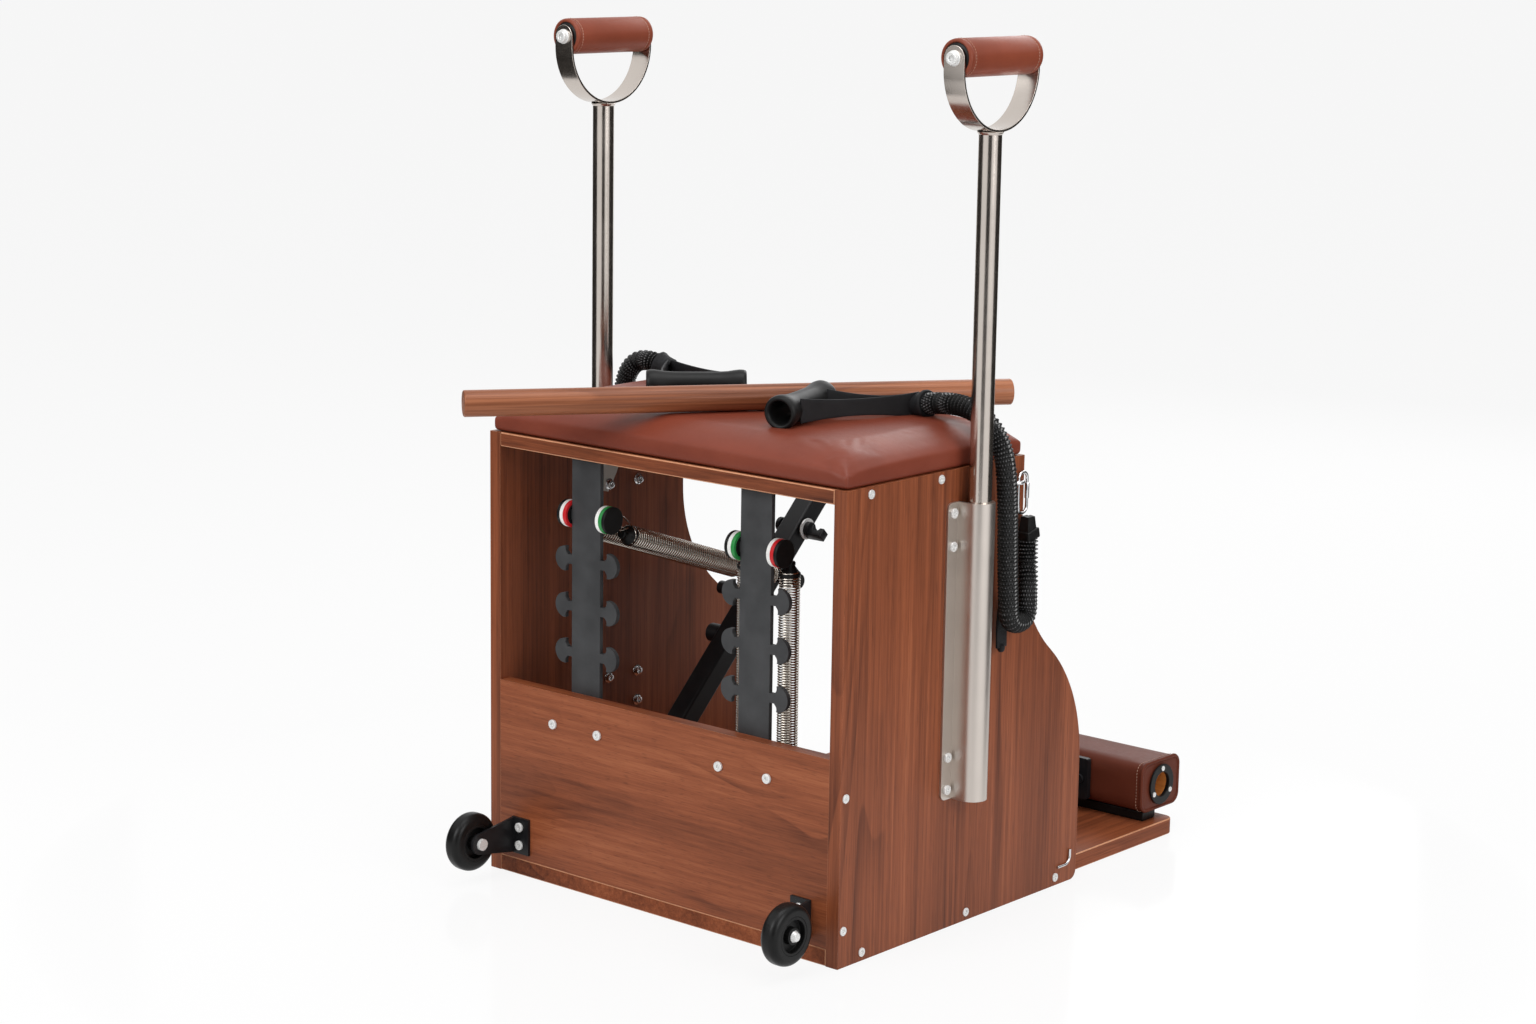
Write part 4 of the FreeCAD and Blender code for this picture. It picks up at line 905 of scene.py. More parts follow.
def make_link(low, high):
    """A long closed loop of wire with a straight gate on one side."""
    middle = (low + high) / 2
    reach = (high.z - low.z) / 2 - LINK_WIRE
    half = (high.y - low.y) / 2 - LINK_WIRE
    loop = []
    for index in range(LINK_POINTS):
        angle = 2 * math.pi * index / LINK_POINTS
        rise = math.copysign(reach - half, math.sin(angle)) if abs(math.sin(angle)) > 0.05 else 0.0
        loop.append(middle + Vector((0, half * math.cos(angle), half * math.sin(angle) + rise)))
    places = spline_points(loop, LINK_STEP, closed=True)[0]
    ring = tube("link", places, lambda run: LINK_WIRE, 12, closed=True)
    gate = made(bpy.ops.mesh.primitive_cylinder_add, vertices=20, radius=GATE_RADIUS, depth=GATE_LENGTH,
                location=middle + Vector((0, -half, GATE_RISE)))
    round_edges(gate, 0.0006, 2, 40)
    place_in_mesh(gate)
    return join("link", [smooth(ring), smooth(gate)])


link_pieces = {"right": [], "left": []}
buckle_pieces = {"right": [], "left": []}
for low, high in solid_boxes("band_clips"):
    side = "left" if low.x + high.x > 0 else "right"
    if high.y - low.y < BUCKLE_LIMIT:
        buckle_pieces[side] += make_buckle(low, high)
    else:
        link_pieces[side].append(make_link(low, high))
tail = made(bpy.ops.mesh.primitive_grid_add, x_subdivisions=6, y_subdivisions=24, size=1.0)
for vert in tail.data.vertices:
    share = 0.5 - vert.co.y
    sway = TAIL_SWAY * math.sin(3.2 * share)
    across = vert.co.x * TAIL_WIDTH + TAIL_SWEEP * share ** 2
    vert.co = TAIL_TOP + Vector((sway, across, -share * TAIL_LENGTH))
modify(tail, "SOLIDIFY", thickness=TAIL_THICK, offset=0.0)
round_edges(tail, TAIL_THICK * 0.3, 2, 60)
tail_foot = TAIL_TOP + Vector((0, TAIL_SWEEP, -TAIL_LENGTH - KNOB_DROP))
knob = spun("knob", KNOB_PROFILE, tail_foot, tail_foot + Vector((0, 0, 0.01)), 20)
tail = finish_joined([smooth(tail, 40), knob], "band_tail_right", strap_weave, "carcass")
for side, (band, places, length) in bands.items():
    link = finish_joined(link_pieces[side], "band_link_" + side, bright_steel, "carcass",
                         ("band_clips",))
    buckle = finish_joined(buckle_pieces[side], "band_buckle_" + side, black_plastic, "carcass")
print("links and buckles done")

# %% [markdown]
# The studio is a pale floor under large soft lamps. A lamp's power is set so that a white card
# near the chair would come out just white. The floor shows its own near-white to the camera,
# keeps the soft shadow and, close to the chair, a faint reflection. The world behind it is white as
# well, and dark cards that only reflections see give the metal its dark edges.

# %% Floor and light
FLOOR_SIZE = 80.0
SELF_WHITE = 0.88
SHINE_REACH = (0.74, 0.98)
WORLD_LIGHT = 0.42
WHITE = (1.0, 1.0, 1.0, 1.0)
TARGET = Vector((0, 0, 0.5))
CARD_LIFT = 0.002
CARD_RADIUS = 3.0
CARD_HEIGHT = 1.8
CARD_STEPS = 12
FLOOR_CARD = ((1.10, -0.30), (CARD_RADIUS, -0.80), (CARD_RADIUS, CARD_RADIUS), (1.95, CARD_RADIUS))
SIDE_CARD_ANGLES = (72.0, 152.0)
FRONT_CARD_ANGLE = 17.0


def seen_directly(tree):
    """One for a ray from the camera, straight or by way of a gloss or glass, and else zero."""
    paths = tree.nodes.new("ShaderNodeLightPath").outputs
    bent = math_node(tree, "MAXIMUM", paths["Is Glossy Ray"], paths["Is Transmission Ray"])
    return math_node(tree, "MAXIMUM", paths["Is Camera Ray"], bent)


floor = made(bpy.ops.mesh.primitive_plane_add, size=FLOOR_SIZE, location=(0, 0, 0))
floor.name = "floor"
floor_paint, tree, shader = start_material("floor_paint", Base_Color=(0.86, 0.86, 0.86, 1.0), Roughness=0.12)
distance = add(tree, "ShaderNodeVectorMath", {"operation": "LENGTH"}, i0=object_coordinates(tree))
shine = remap(tree, distance.outputs["Value"], *SHINE_REACH, 0.5, 0.0)
tree.links.new(shine, shader.inputs["Specular IOR Level"])
glow = add(tree, "ShaderNodeEmission", Color=WHITE, Strength=1.0)
mixed = add(tree, "ShaderNodeMixShader", i0=math_node(tree, "MULTIPLY", seen_directly(tree), SELF_WHITE),
            i1=shader.outputs[0], i2=glow.outputs[0])
tree.links.new(mixed.outputs[0], tree.nodes["Material Output"].inputs["Surface"])
floor.data.materials.append(floor_paint)

world = bpy.data.worlds.new("studio")
scene.world = world
world.use_nodes = True
tree = world.node_tree
tree.nodes.clear()
plain = add(tree, "ShaderNodeBackground", Color=WHITE, Strength=WORLD_LIGHT)
white = add(tree, "ShaderNodeBackground", Color=WHITE, Strength=1.0)
mixed = add(tree, "ShaderNodeMixShader", i0=seen_directly(tree), i1=plain.outputs[0], i2=white.outputs[0])
output = tree.nodes.new("ShaderNodeOutputWorld")
tree.links.new(mixed.outputs[0], output.inputs["Surface"])


def soft_lamp(name, place, size, power):
    bpy.ops.object.light_add(type="AREA", location=place)
    lamp = bpy.context.object
    lamp.name = name
    lamp.rotation_euler = (TARGET - Vector(place)).to_track_quat("-Z", "Y").to_euler()
    lamp.data.shape = "DISK"
    lamp.data.size = size
    lamp.data.energy = power


def dark_card(name, points, faces):
    """A dark card beside the view, as a studio uses one to draw dark edges on metal."""
    ahead = CAMERA_HEADING.normalized()
    aside = Vector((ahead.y, -ahead.x, 0))
    places = [aside * across + ahead * along + Vector((0, 0, rise)) for across, along, rise in points]
    card = new_piece(name, places, [], faces)
    card.data.materials.append(card_paint)
    card.visible_camera = False
    card.visible_diffuse = False
    card.visible_shadow = False


def standing_card(name, first, last):
    """A bent card that stands round the chair between two angles from the camera's side."""
    points = []
    for step in range(CARD_STEPS + 1):
        angle = math.radians(first + (last - first) * step / CARD_STEPS)
        across = CARD_RADIUS * math.sin(angle)
        along = -CARD_RADIUS * math.cos(angle)
        points += [(across, along, 0.0), (across, along, CARD_HEIGHT)]
    faces = [(2 * step, 2 * step + 2, 2 * step + 3, 2 * step + 1) for step in range(CARD_STEPS)]
    dark_card(name, points, faces)


card_paint = start_material("card_paint", Base_Color=(0.02, 0.018, 0.016, 1.0), Roughness=0.9)[0]
for way, side in ((1, "right"), (-1, "left")):
    flat = [(way * across, along, CARD_LIFT) for across, along in FLOOR_CARD]
    dark_card(side + "_floor_card", flat, [(0, 1, 2, 3)])
    standing_card(side + "_card", *[way * angle for angle in SIDE_CARD_ANGLES])
standing_card("front_card", -FRONT_CARD_ANGLE, FRONT_CARD_ANGLE)
soft_lamp("key_lamp", (0.6, 3.4, 2.6), 2.2, 60.0)
soft_lamp("side_lamp", (-3.6, 0.4, 1.9), 2.2, 48.0)
soft_lamp("top_lamp", (-0.6, 0.2, 3.6), 2.6, 50.0)
soft_lamp("front_lamp", (0.8, -3.4, 2.0), 2.4, 30.0)
print("floor and lamps ready")

# %% [markdown]
# The boards keep the shapes of the imported solids. A merged copy of each gets a fine rounded
# edge, as sanded board has, and grain in the direction that the veneer was laid. The rounded edges
# are coloured a much lighter walnut, a painted highlight along each edge.

# %% Wooden boards
for node, wood in (("side_panel_left", walnut_upright), ("side_panel_right", walnut_upright),
                   ("lower_back_panel", walnut_across), ("seat_board", walnut_across),
                   ("base_board", walnut_deep)):
    rigid_copy(node, node + "_board", wood, 0.0015, bevel_highlight_finish=walnut_edge_highlight)
print("boards done")

# %% [markdown]
# Plates, tubes, brackets and mouldings are dressed in the same way, each with its own finish and
# the width of its rounded edges. Most of them come in pairs.

# %% Plain rigid parts
PAIRS = (("pole_sleeve", satin_steel, 0.0006), ("handle_frame", tube_steel, 0.0005),
         ("spring_post", charcoal_coat, 0.0008), ("pedal_arm", black_coat, 0.0010),
         ("arm_pins", black_coat, 0.0006), ("wheel_bracket", black_coat, 0.0008),
         ("pedal_end_rings", black_plastic, 0.0008), ("wheel_tyre", black_rubber, 0.0),
         ("wheel_hub", black_plastic, 0.0008))
SINGLES = (("seat_gussets", satin_steel, 0.0005), ("pedal_axle", turned_steel, 0.0008),
           ("axle_blocks", black_coat, 0.0010), ("wheel_axles", zinc_plate, 0.0005),
           ("wire_hooks", bright_steel, 0.0), ("band_eyes", bright_steel, 0.0),
           ("puck_bodies", black_plastic, 0.0008), ("puck_red_rings", red_plastic, 0.0006),
           ("puck_green_rings", green_plastic, 0.0006), ("puck_white_rings", white_plastic, 0.0006),
           ("pedal_stop_strip", black_rubber, 0.0015))
rigid_nodes = [(stem + side, finish, width) for stem, finish, width in PAIRS for side in ("_left", "_right")]
for node, finish, width in (*rigid_nodes, *SINGLES):
    rigid_copy(node, node + "_part", finish, width)
print("rigid parts done")

# %% [markdown]
# The seat cushion is leather over foam: highest in the middle, lower along its edges and pinched
# down at the corners, where the leather is folded. A cube is cut into a fine grid and pressed into
# that shape, remeshed evenly, and then blown up a little by a cloth simulation with its rim held.

# %% Padding helpers
def puffed(piece, held, pressure, cap, frames=20):
    """Blows a pad up with cloth pressure. Points that pass the held test stay, none moves past the cap."""
    rest = [vert.co.copy() for vert in piece.data.vertices]
    group = piece.vertex_groups.new(name="held")
    group.add([vert.index for vert in piece.data.vertices if held(vert.co)], 1.0, "REPLACE")
    only(piece)
    cloth = piece.modifiers.new("cloth", "CLOTH")
    cloth.settings.quality = 4
    cloth.settings.mass = 0.3
    cloth.settings.tension_stiffness = 12.0
    cloth.settings.compression_stiffness = 12.0
    cloth.settings.bending_stiffness = 0.8
    cloth.settings.use_pressure = True
    cloth.settings.uniform_pressure_force = pressure
    cloth.settings.vertex_group_mass = "held"
    cloth.settings.effector_weights.gravity = 0.0
    cloth.collision_settings.use_collision = False
    cloth.point_cache.frame_start = 1
    cloth.point_cache.frame_end = frames
    for step in range(1, frames + 1):
        scene.frame_set(step)
    posed = piece.evaluated_get(bpy.context.evaluated_depsgraph_get()).data
    moved = [vert.co.copy() for vert in posed.vertices]
    piece.modifiers.remove(cloth)
    scene.frame_set(1)
    most = 0.0
    for vert, old, new in zip(piece.data.vertices, rest, moved):
        step = new - old
        if step.length > cap:
            step = step.normalized() * cap
        most = max(most, step.length)
        vert.co = old + step
    piece.vertex_groups.clear()
    print(piece.name, "moved by up to", round(most * 1000, 1), "mm")
    return piece


def voxels(piece, size):
    """Gives a piece an even mesh of small squares."""
    only(piece)
    piece.data.remesh_voxel_size = size
    piece.data.remesh_voxel_adaptivity = 0.0
    bpy.ops.object.voxel_remesh()
    return piece


# %% Seat cushion
seat_low, seat_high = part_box("seat_cushion")
seat_middle = (seat_low + seat_high) / 2
seat_half = (seat_high - seat_low) / 2
CUSHION_CUTS = 60
CUSHION_VOXEL = 0.0047
EDGE_HEIGHT = 0.0235
CORNER_PINCH = 0.0060
PINCH_RUN = 0.055
ROUND_RUN = 0.056
ROUND_POWER = 2.6
RIDGE_SOFTNESS = 0.007
CROWN_DROP = 0.0020
TUCK = 0.0030
PUFF_ROOM = 0.0012
RIM_HELD = 0.012
SEAT_PRESSURE = 0.9
SEAT_CAP = 0.0014
FOOT_BAND = 0.0012
FOOT_LEVEL = 0.0004

cushion = made(bpy.ops.mesh.primitive_cube_add, size=2.0)
bpy.ops.object.mode_set(mode="EDIT")
bpy.ops.mesh.subdivide(number_cuts=CUSHION_CUTS)
leave_edit()
for vert in cushion.data.vertices:
    across, along, rise = vert.co
    from_x = (1.0 - abs(across)) * seat_half.x
    from_y = (1.0 - abs(along)) * seat_half.y
    blend = math.exp(-from_x / RIDGE_SOFTNESS) + math.exp(-from_y / RIDGE_SOFTNESS)
    inset = max(0.0, -RIDGE_SOFTNESS * math.log(blend))
    edge_height = EDGE_HEIGHT - CORNER_PINCH * math.exp(-max(from_x, from_y) / PINCH_RUN)
    round_up = 1.0 - (1.0 - min(inset / ROUND_RUN, 1.0)) ** ROUND_POWER
    top_height = seat_half.z * 2 - PUFF_ROOM - CROWN_DROP * max(across ** 2, along ** 2)
    full = edge_height + (top_height - edge_height) * round_up
    tuck = TUCK * max(0.0, -rise) ** 4
    shrink_x = (seat_half.x - PUFF_ROOM - tuck) / seat_half.x
    shrink_y = (seat_half.y - PUFF_ROOM - tuck) / seat_half.y
    vert.co = Vector((seat_middle.x + across * seat_half.x * shrink_x,
                      seat_middle.y + along * seat_half.y * shrink_y,
                      seat_low.z + full * (rise + 1.0) / 2))
voxels(cushion, CUSHION_VOXEL)
modify(cushion, "SMOOTH", factor=0.5, iterations=2)
rim_top = seat_low.z + RIM_HELD
puffed(cushion, lambda place: place.z < rim_top, SEAT_PRESSURE, SEAT_CAP)
for vert in cushion.data.vertices:
    if vert.co.z < seat_low.z + FOOT_BAND:
        vert.co.z = seat_low.z + FOOT_LEVEL
modify(cushion, "SUBSURF", levels=1, render_levels=1)
smooth(cushion, 60)
finish_piece(cushion, "seat_pad", seat_leather, "carcass", ("seat_cushion",))
print("cushion faces", len(cushion.data.polygons))

# %% [markdown]
# The dowel is a plain round rod of the same walnut family, with eased ends. Its grain runs along
# its length, so the wood pattern is turned to the rod's heading.

# %% Dowel
DOWEL_HEADING = math.radians(53.8)
DOWEL_STOPS = ((0.0, (0.075, 0.021, 0.009)), (0.35, (0.22, 0.072, 0.031)), (0.7, (0.38, 0.138, 0.062)),
               (1.0, (0.52, 0.21, 0.10)))
dowel_wood, tree, shader = start_material("dowel_walnut", Specular_IOR_Level=0.25)
place = object_coordinates(tree)
for turn in ((0, 0, math.radians(90) - DOWEL_HEADING), ALONG_Y):
    place = add(tree, "ShaderNodeMapping", Vector=place, Rotation=turn).outputs[0]
grain = shared(tree, wood_group, place, Figure=0.6)
tree.links.new(ramp(tree, grain["Tone"], DOWEL_STOPS), shader.inputs["Base Color"])
tree.links.new(remap(tree, grain["Tone"], 0.0, 1.0, 0.38, 0.29), shader.inputs["Roughness"])
bump(tree, shader, math_node(tree, "SUBTRACT", 1.0, grain["Pores"]), *PORE_BUMP)
rigid_copy("dowel", "linking_dowel", dowel_wood, 0.0)
print("dowel done")

# %% [markdown]
# A spring is a wire wound round an axis. The Screw modifier does just that: a small circle, set
# off from the axis, is carried round and along it once per turn. Hook wires at the ends are tubes
# along short smooth lines, and a black collar hides where hook and coil meet.

# %% Springs
COIL_RADIUS = 0.0122
COIL_STEPS = 16
COIL_SIDES = 8
HUNG_PITCH = 0.0032
HUNG_WIRE = 0.00100
HUNG_TOP = 0.019
HUNG_FOOT = 0.006
HUNG_COLLAR = 0.013
DRAWN_PITCH = 0.0043
DRAWN_WIRE = 0.00135
DRAWN_DROP = 0.012
DRAWN_LEAD = 0.036
DRAWN_COLLAR = 0.0125
LOOP_WIRE = 0.0010
LOOP_SIDES = 10
LOOP_STEP = 0.002
LOOP_RIM = 0.0150
LOOP_LEADS = ((0.034, 0.0035), (0.026, 0.0080))
LOOP_OFFSET = {"outer": 0.0035, "inner": -0.0035}
SPRING_COLLAR = ((0.0, 0.0), (0.0058, 0.0), (0.0068, 0.0012), (0.0068, 0.0042), (0.0062, 0.0048),
                 (0.0064, 0.0058), (0.0110, 0.0118), (0.0130, 0.0136), (0.0133, 0.0150), (0.0133, 0.0182),
                 (0.0124, 0.0190), (0.0, 0.0190))
PUCK_Y = 0.2206
PUCK_Z = 0.486
HANG_Y = 0.2026
PIN_Y = -0.1240
PIN_Z = 0.3570


def coil(start, end, pitch, wire_radius):
    """A wire wound round the line from start to end, closed at both its ends."""
    length = (end - start).length
    turns = round(length / pitch)
    wire = place_in_mesh(made(bpy.ops.mesh.primitive_circle_add, vertices=COIL_SIDES, radius=wire_radius,
                              fill_type="NOTHING", location=(COIL_RADIUS, 0, 0),
                              rotation=(math.radians(90), 0, 0)))
    modify(wire, "SCREW", axis="Z", angle=2 * math.pi, screw_offset=length / turns, iterations=turns,
           steps=COIL_STEPS, render_steps=COIL_STEPS, use_merge_vertices=False)
    edit_all(wire)
    bpy.ops.mesh.fill_holes(sides=COIL_SIDES)
    bpy.ops.mesh.select_all(action="SELECT")
    bpy.ops.mesh.normals_make_consistent(inside=False)
    leave_edit()
    wire.matrix_world = standing_at(start, end - start)
    return smooth(place_in_mesh(wire), 60)


def puck_loop(puck, way_down, offset):
    """A wire loop over the rim of a puck, its two ends led down to the collar."""
    side = way_down.cross(Vector((1, 0, 0))).normalized()
    points = [puck + way_down * along + side * across for along, across in LOOP_LEADS]
    for degrees in range(-50, 231, 20):
        angle = math.radians(degrees)
        points.append(puck + (side * math.cos(angle) - way_down * math.sin(angle)) * LOOP_RIM)
    points += [puck + way_down * along - side * across for along, across in reversed(LOOP_LEADS)]
    places = spline_points([point + Vector((offset, 0, 0)) for point in points], LOOP_STEP)[0]
    return smooth(tube("wire", places, lambda run: LOOP_WIRE, LOOP_SIDES), 60)


def collar_at(place, way):
    return spun("collar", SPRING_COLLAR, place, place + way, 28)


for row in ("outer", "inner"):
    node = "spring_right_" + row
    name = "hung_spring_" + row
    low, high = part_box(node)
    x = (low.x + high.x) / 2
    top = Vector((x, HANG_Y, high.z - HUNG_TOP))
    foot = Vector((x, HANG_Y, low.z + HUNG_FOOT))
    puck = Vector((x, PUCK_Y, PUCK_Z))
    lead = (top - puck).normalized()
    loop = puck_loop(puck, Vector((0, lead.y, lead.z)), LOOP_OFFSET[row])
    wires = [coil(top, foot, HUNG_PITCH, HUNG_WIRE), loop]
    finish_joined(wires, name + "_coil", nickel_wire, name, (node,))
    collar = collar_at(top + Vector((0, 0, HUNG_COLLAR)), Vector((0, 0, -1)))
    finish_piece(collar, name + "_collar", black_plastic, name)
    rigid_copy("spring_clip_right_" + row, name + "_clip", black_coat, 0.0006)
for row in ("outer", "inner"):
    node = "spring_left_" + row
    name = "drawn_spring_" + row
    low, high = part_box(node)
    x = (low.x + high.x) / 2
    puck = Vector((x, PUCK_Y, PUCK_Z))
    pin = Vector((x, PIN_Y, PIN_Z))
    hung = puck - Vector((0, 0, DRAWN_DROP))
    way = (pin - hung).normalized()
    start = hung + way * DRAWN_LEAD
    stop = Vector((x, low.y, hung.z + way.z / way.y * (low.y - hung.y)))
    spring = coil(start, stop, DRAWN_PITCH, DRAWN_WIRE)
    finish_piece(spring, name + "_coil", nickel_wire, "carcass", (node,))
    spring.parent = None
    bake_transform(spring)
    loop = puck_loop(puck, way, LOOP_OFFSET[row])
    finish_piece(loop, name + "_loop", nickel_wire, "carcass")
    collar = collar_at(start - way * DRAWN_COLLAR, way)
    finish_piece(collar, name + "_collar", black_plastic, "carcass")
rigid_copy("spring_clips_left", "drawn_spring_clips", black_coat, 0.0006)
print("springs done")

# %% [markdown]
# Screws and bolts are modelled once each, lying along Z, and copied to every place. The top of a
# round head is inset to a six-sided outline and pressed in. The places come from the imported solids.

# %% Fasteners
SCREW_HEAD = (0.0056, 0.0022)
BOLT_HEAD = (0.0062, 0.0034)
NUT_SIZE = (0.0056, 0.0062)
NUT_SEAT = 0.0055


def socket_head(radius, height, socket=0.40):
    """A round head whose top is inset to a six-sided socket and pressed down."""
    head = place_in_mesh(made(bpy.ops.mesh.primitive_cylinder_add, vertices=24, radius=radius,
                              depth=height, location=(0, 0, height / 2)))
    pick_faces(head, lambda place, normal: normal.z > 0.9)
    bpy.ops.mesh.inset(thickness=radius * (1.0 - socket))
    shape = bmesh.from_edit_mesh(head.data)
    for vert in shape.verts:
        if vert.select:
            angle = math.atan2(vert.co.y, vert.co.x) % math.radians(60) - math.radians(30)
            flat_way = vert.co.xy.normalized() * radius * socket * math.cos(math.radians(30))
            vert.co.xy = flat_way / math.cos(angle)
    bmesh.update_edit_mesh(head.data)
    bpy.ops.mesh.extrude_region_move(TRANSFORM_OT_translate={"value": (0, 0, -height * 0.65)})
    leave_edit()
    outward(head)
    round_edges(head, height * 0.22, 3, 60)
    return smooth(head, 40)


def flanged_nut(radius, height):
    """A six-sided nut on a round flange, its bore shown as a sunk top."""
    flange = made(bpy.ops.mesh.primitive_cylinder_add, vertices=32, radius=radius * 1.36, depth=height * 0.28,
                  location=(0, 0, height * 0.14))
    round_edges(flange, height * 0.06, 2, 60)
    place_in_mesh(flange)
    body = made(bpy.ops.mesh.primitive_cylinder_add, vertices=6, radius=radius, depth=height * 0.72,
                location=(0, 0, height * 0.64))
    pick_faces(body, lambda place, normal: normal.z > 0.9)
    bpy.ops.mesh.inset(thickness=radius * 0.42)
    bpy.ops.mesh.extrude_region_move(TRANSFORM_OT_translate={"value": (0, 0, -height * 0.3)})
    leave_edit()
    round_edges(body, height * 0.05, 2, 30)
    place_in_mesh(body)
    return join("nut", [smooth(flange), smooth(body)])


def set_out(model, place, way):
    """A copy of a model at a place, its Z axis turned to the way given."""
    copy = twin(model)
    copy.matrix_world = standing_at(place, Vector(way))
    return place_in_mesh(copy)


screw_head = socket_head(*SCREW_HEAD)
bolt_head = socket_head(*BOLT_HEAD)
nut_model = flanged_nut(*NUT_SIZE)
screws = []
for low, high in solid_boxes("carcass_screws"):
    way = 1.0 if high.x > 0 else -1.0
    face = (high.x if way > 0 else low.x) - way * SCREW_HEAD[1]
    place = Vector((face, (low.y + high.y) / 2, (low.z + high.z) / 2))
    screws.append(set_out(screw_head, place, (way, 0, 0)))
finish_joined(screws, "side_screws", zinc_plate, "carcass", ("carcass_screws",))
bolts = []
nuts = []
for low, high in solid_boxes("sleeve_fasteners"):
    way = 1.0 if high.x > 0 else -1.0
    middle = (low + high) / 2
    outer = (high.x if way > 0 else low.x) - way * BOLT_HEAD[1]
    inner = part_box("side_panel_left")[0].x * way
    bolts.append(set_out(bolt_head, Vector((outer, middle.y, middle.z)), (way, 0, 0)))
    nuts.append(set_out(nut_model, Vector((inner, middle.y, middle.z)), (-way, 0, 0)))
finish_joined(bolts, "sleeve_bolts", zinc_plate, "carcass", ("sleeve_fasteners",))
finish_joined(nuts, "sleeve_nuts", bright_steel, "carcass")
bolts = []
for low, high in solid_boxes("panel_bolts"):
    middle = (low + high) / 2
    bolts.append(set_out(bolt_head, Vector((middle.x, high.y - BOLT_HEAD[1], middle.z)), (0, 1, 0)))
    bolts.append(set_out(nut_model, Vector((middle.x, low.y + NUT_SEAT, middle.z)), (0, -1, 0)))
finish_joined(bolts, "panel_bolt_set", zinc_plate, "carcass", ("panel_bolts",))
for model in (screw_head, bolt_head, nut_model):
    bpy.data.objects.remove(model)
print("fasteners done")

# %% [markdown]
# Each gusset under the seat ends in a thin plate on the side board, cut at a slant. The far arm's
# spare pin carries a washer and a black keeper that stops a spring hook from slipping off. Both
# start as flat outlines that are filled and then extruded or solidified.

# %% Gusset plates
GUSSET_OUTLINE = ((0.0823, 0.486), (0.046, 0.476), (0.030, 0.500), (0.004, 0.5615), (0.0823, 0.5615))
GUSSET_THICK = 0.0010
plates = []
for way in (-1, 1):
    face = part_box("side_panel_left")[0].x * way
    outline = [(face - way * GUSSET_THICK / 2, y, z) for y, z in GUSSET_OUTLINE]
    plate = new_piece("plate", outline, [], [tuple(range(len(outline)))])
    modify(plate, "SOLIDIFY", thickness=GUSSET_THICK, offset=0.0)
    outward(plate)
    plates.append(round_edges(plate, GUSSET_THICK * 0.3, 2, 40))
finish_joined(plates, "gusset_plates", satin_steel, "carcass")
print("gusset plates done")

# %% Keeper on the far arm
KEEPER_PIN = Vector((0.1130, -0.1820, 0.4150))
KEEPER_OUTLINE = ((-0.014, -0.009), (0.014, -0.009), (0.014, 0.004), (0.007, 0.004), (0.005, 0.000),
                  (-0.004, 0.000), (-0.006, 0.007), (-0.014, 0.007))
KEEPER_WIDTH = 0.013
KEEPER_TILT = math.radians(45)
KEEPER_SHIFT = Vector((-0.008, -0.002, -0.003))
KEEPER_WASHER = ((0.0101, 0.0), (0.0142, 0.0), (0.0146, 0.0005), (0.0146, 0.0016), (0.0142, 0.0021),
                 (0.0101, 0.0021), (0.0101, 0.0))
WASHER_SHIFT = Vector((0.0086, 0, 0))
washer = spun("keeper_washer", KEEPER_WASHER, KEEPER_PIN + WASHER_SHIFT, KEEPER_PIN, 36)
finish_piece(washer, "keeper_washer", zinc_plate, "pedal_left")
outline = [(-x, 0.0, z) for x, z in KEEPER_OUTLINE]
keeper = new_piece("arm_keeper", outline, [], [tuple(range(len(outline)))])
modify(keeper, "SOLIDIFY", thickness=KEEPER_WIDTH, offset=0.0)
outward(keeper)
round_edges(keeper, 0.0009, 3, 30)
keeper.matrix_world = Matrix.Translation(KEEPER_PIN + KEEPER_SHIFT) @ Matrix.Rotation(KEEPER_TILT, 4, "X")
place_in_mesh(keeper)
finish_piece(smooth(keeper, 35), "arm_keeper", black_coat, "pedal_left")
print("keeper done")

# %% [markdown]
# A pedal is a bored wooden block wrapped in leather. The wrap starts as a box with rounded long
# edges and is puffed a little by the same cloth pressure. A round welt goes about each end, and a
# row of stitches holds it. The far pedal is the same set, moved across and turned about the axle.

# %% Pedals
PEDAL_EDGE = 0.013
PEDAL_VOXEL = 0.004
PEDAL_PRESSURE = 3.0
PEDAL_CAP = 0.0011
WRAP_ROOM = 0.0012
END_HOLD = 0.010
WELT_RADIUS = 0.0026
WELT_STEP = 0.0022
STITCH_GAP = 0.0044
STITCH_INSET = 0.0095
STITCH_SINK = 0.0008
THREAD_RADIUS = 0.00045
BORE_CLEAR = 0.0215
PEDAL_SHIFT = 0.282
PEDAL_LIFT = math.radians(-45)
AXLE = Vector((0.0, 0.173, 0.060))
pedal_low, pedal_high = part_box("pedal_leather_right")
pedal_middle = (pedal_low + pedal_high) / 2
pedal_half = (pedal_high - pedal_low) / 2


def round_loop(x, half_y, half_z, radius, middle, spacing):
    """Points round a rectangle with round corners, and the way out from it at each point."""
    corners = ((1, 1, 0), (-1, 1, 90), (-1, -1, 180), (1, -1, 270))
    line = []
    for side_y, side_z, first in corners:
        centre = Vector((x, middle.y + side_y * (half_y - radius), middle.z + side_z * (half_z - radius)))
        for step in range(13):
            angle = math.radians(first + 7.5 * step)
            out = Vector((0, math.cos(angle), math.sin(angle)))
            line.append((centre + out * radius, out))
    line.append(line[0])
    spots = even_spots([point for point, out in line], spacing)[0][:-1]
    points = [line[index][0].lerp(line[index + 1][0], part) for index, part in spots]
    outs = [line[index][1].lerp(line[index + 1][1], part).normalized() for index, part in spots]
    return points, outs


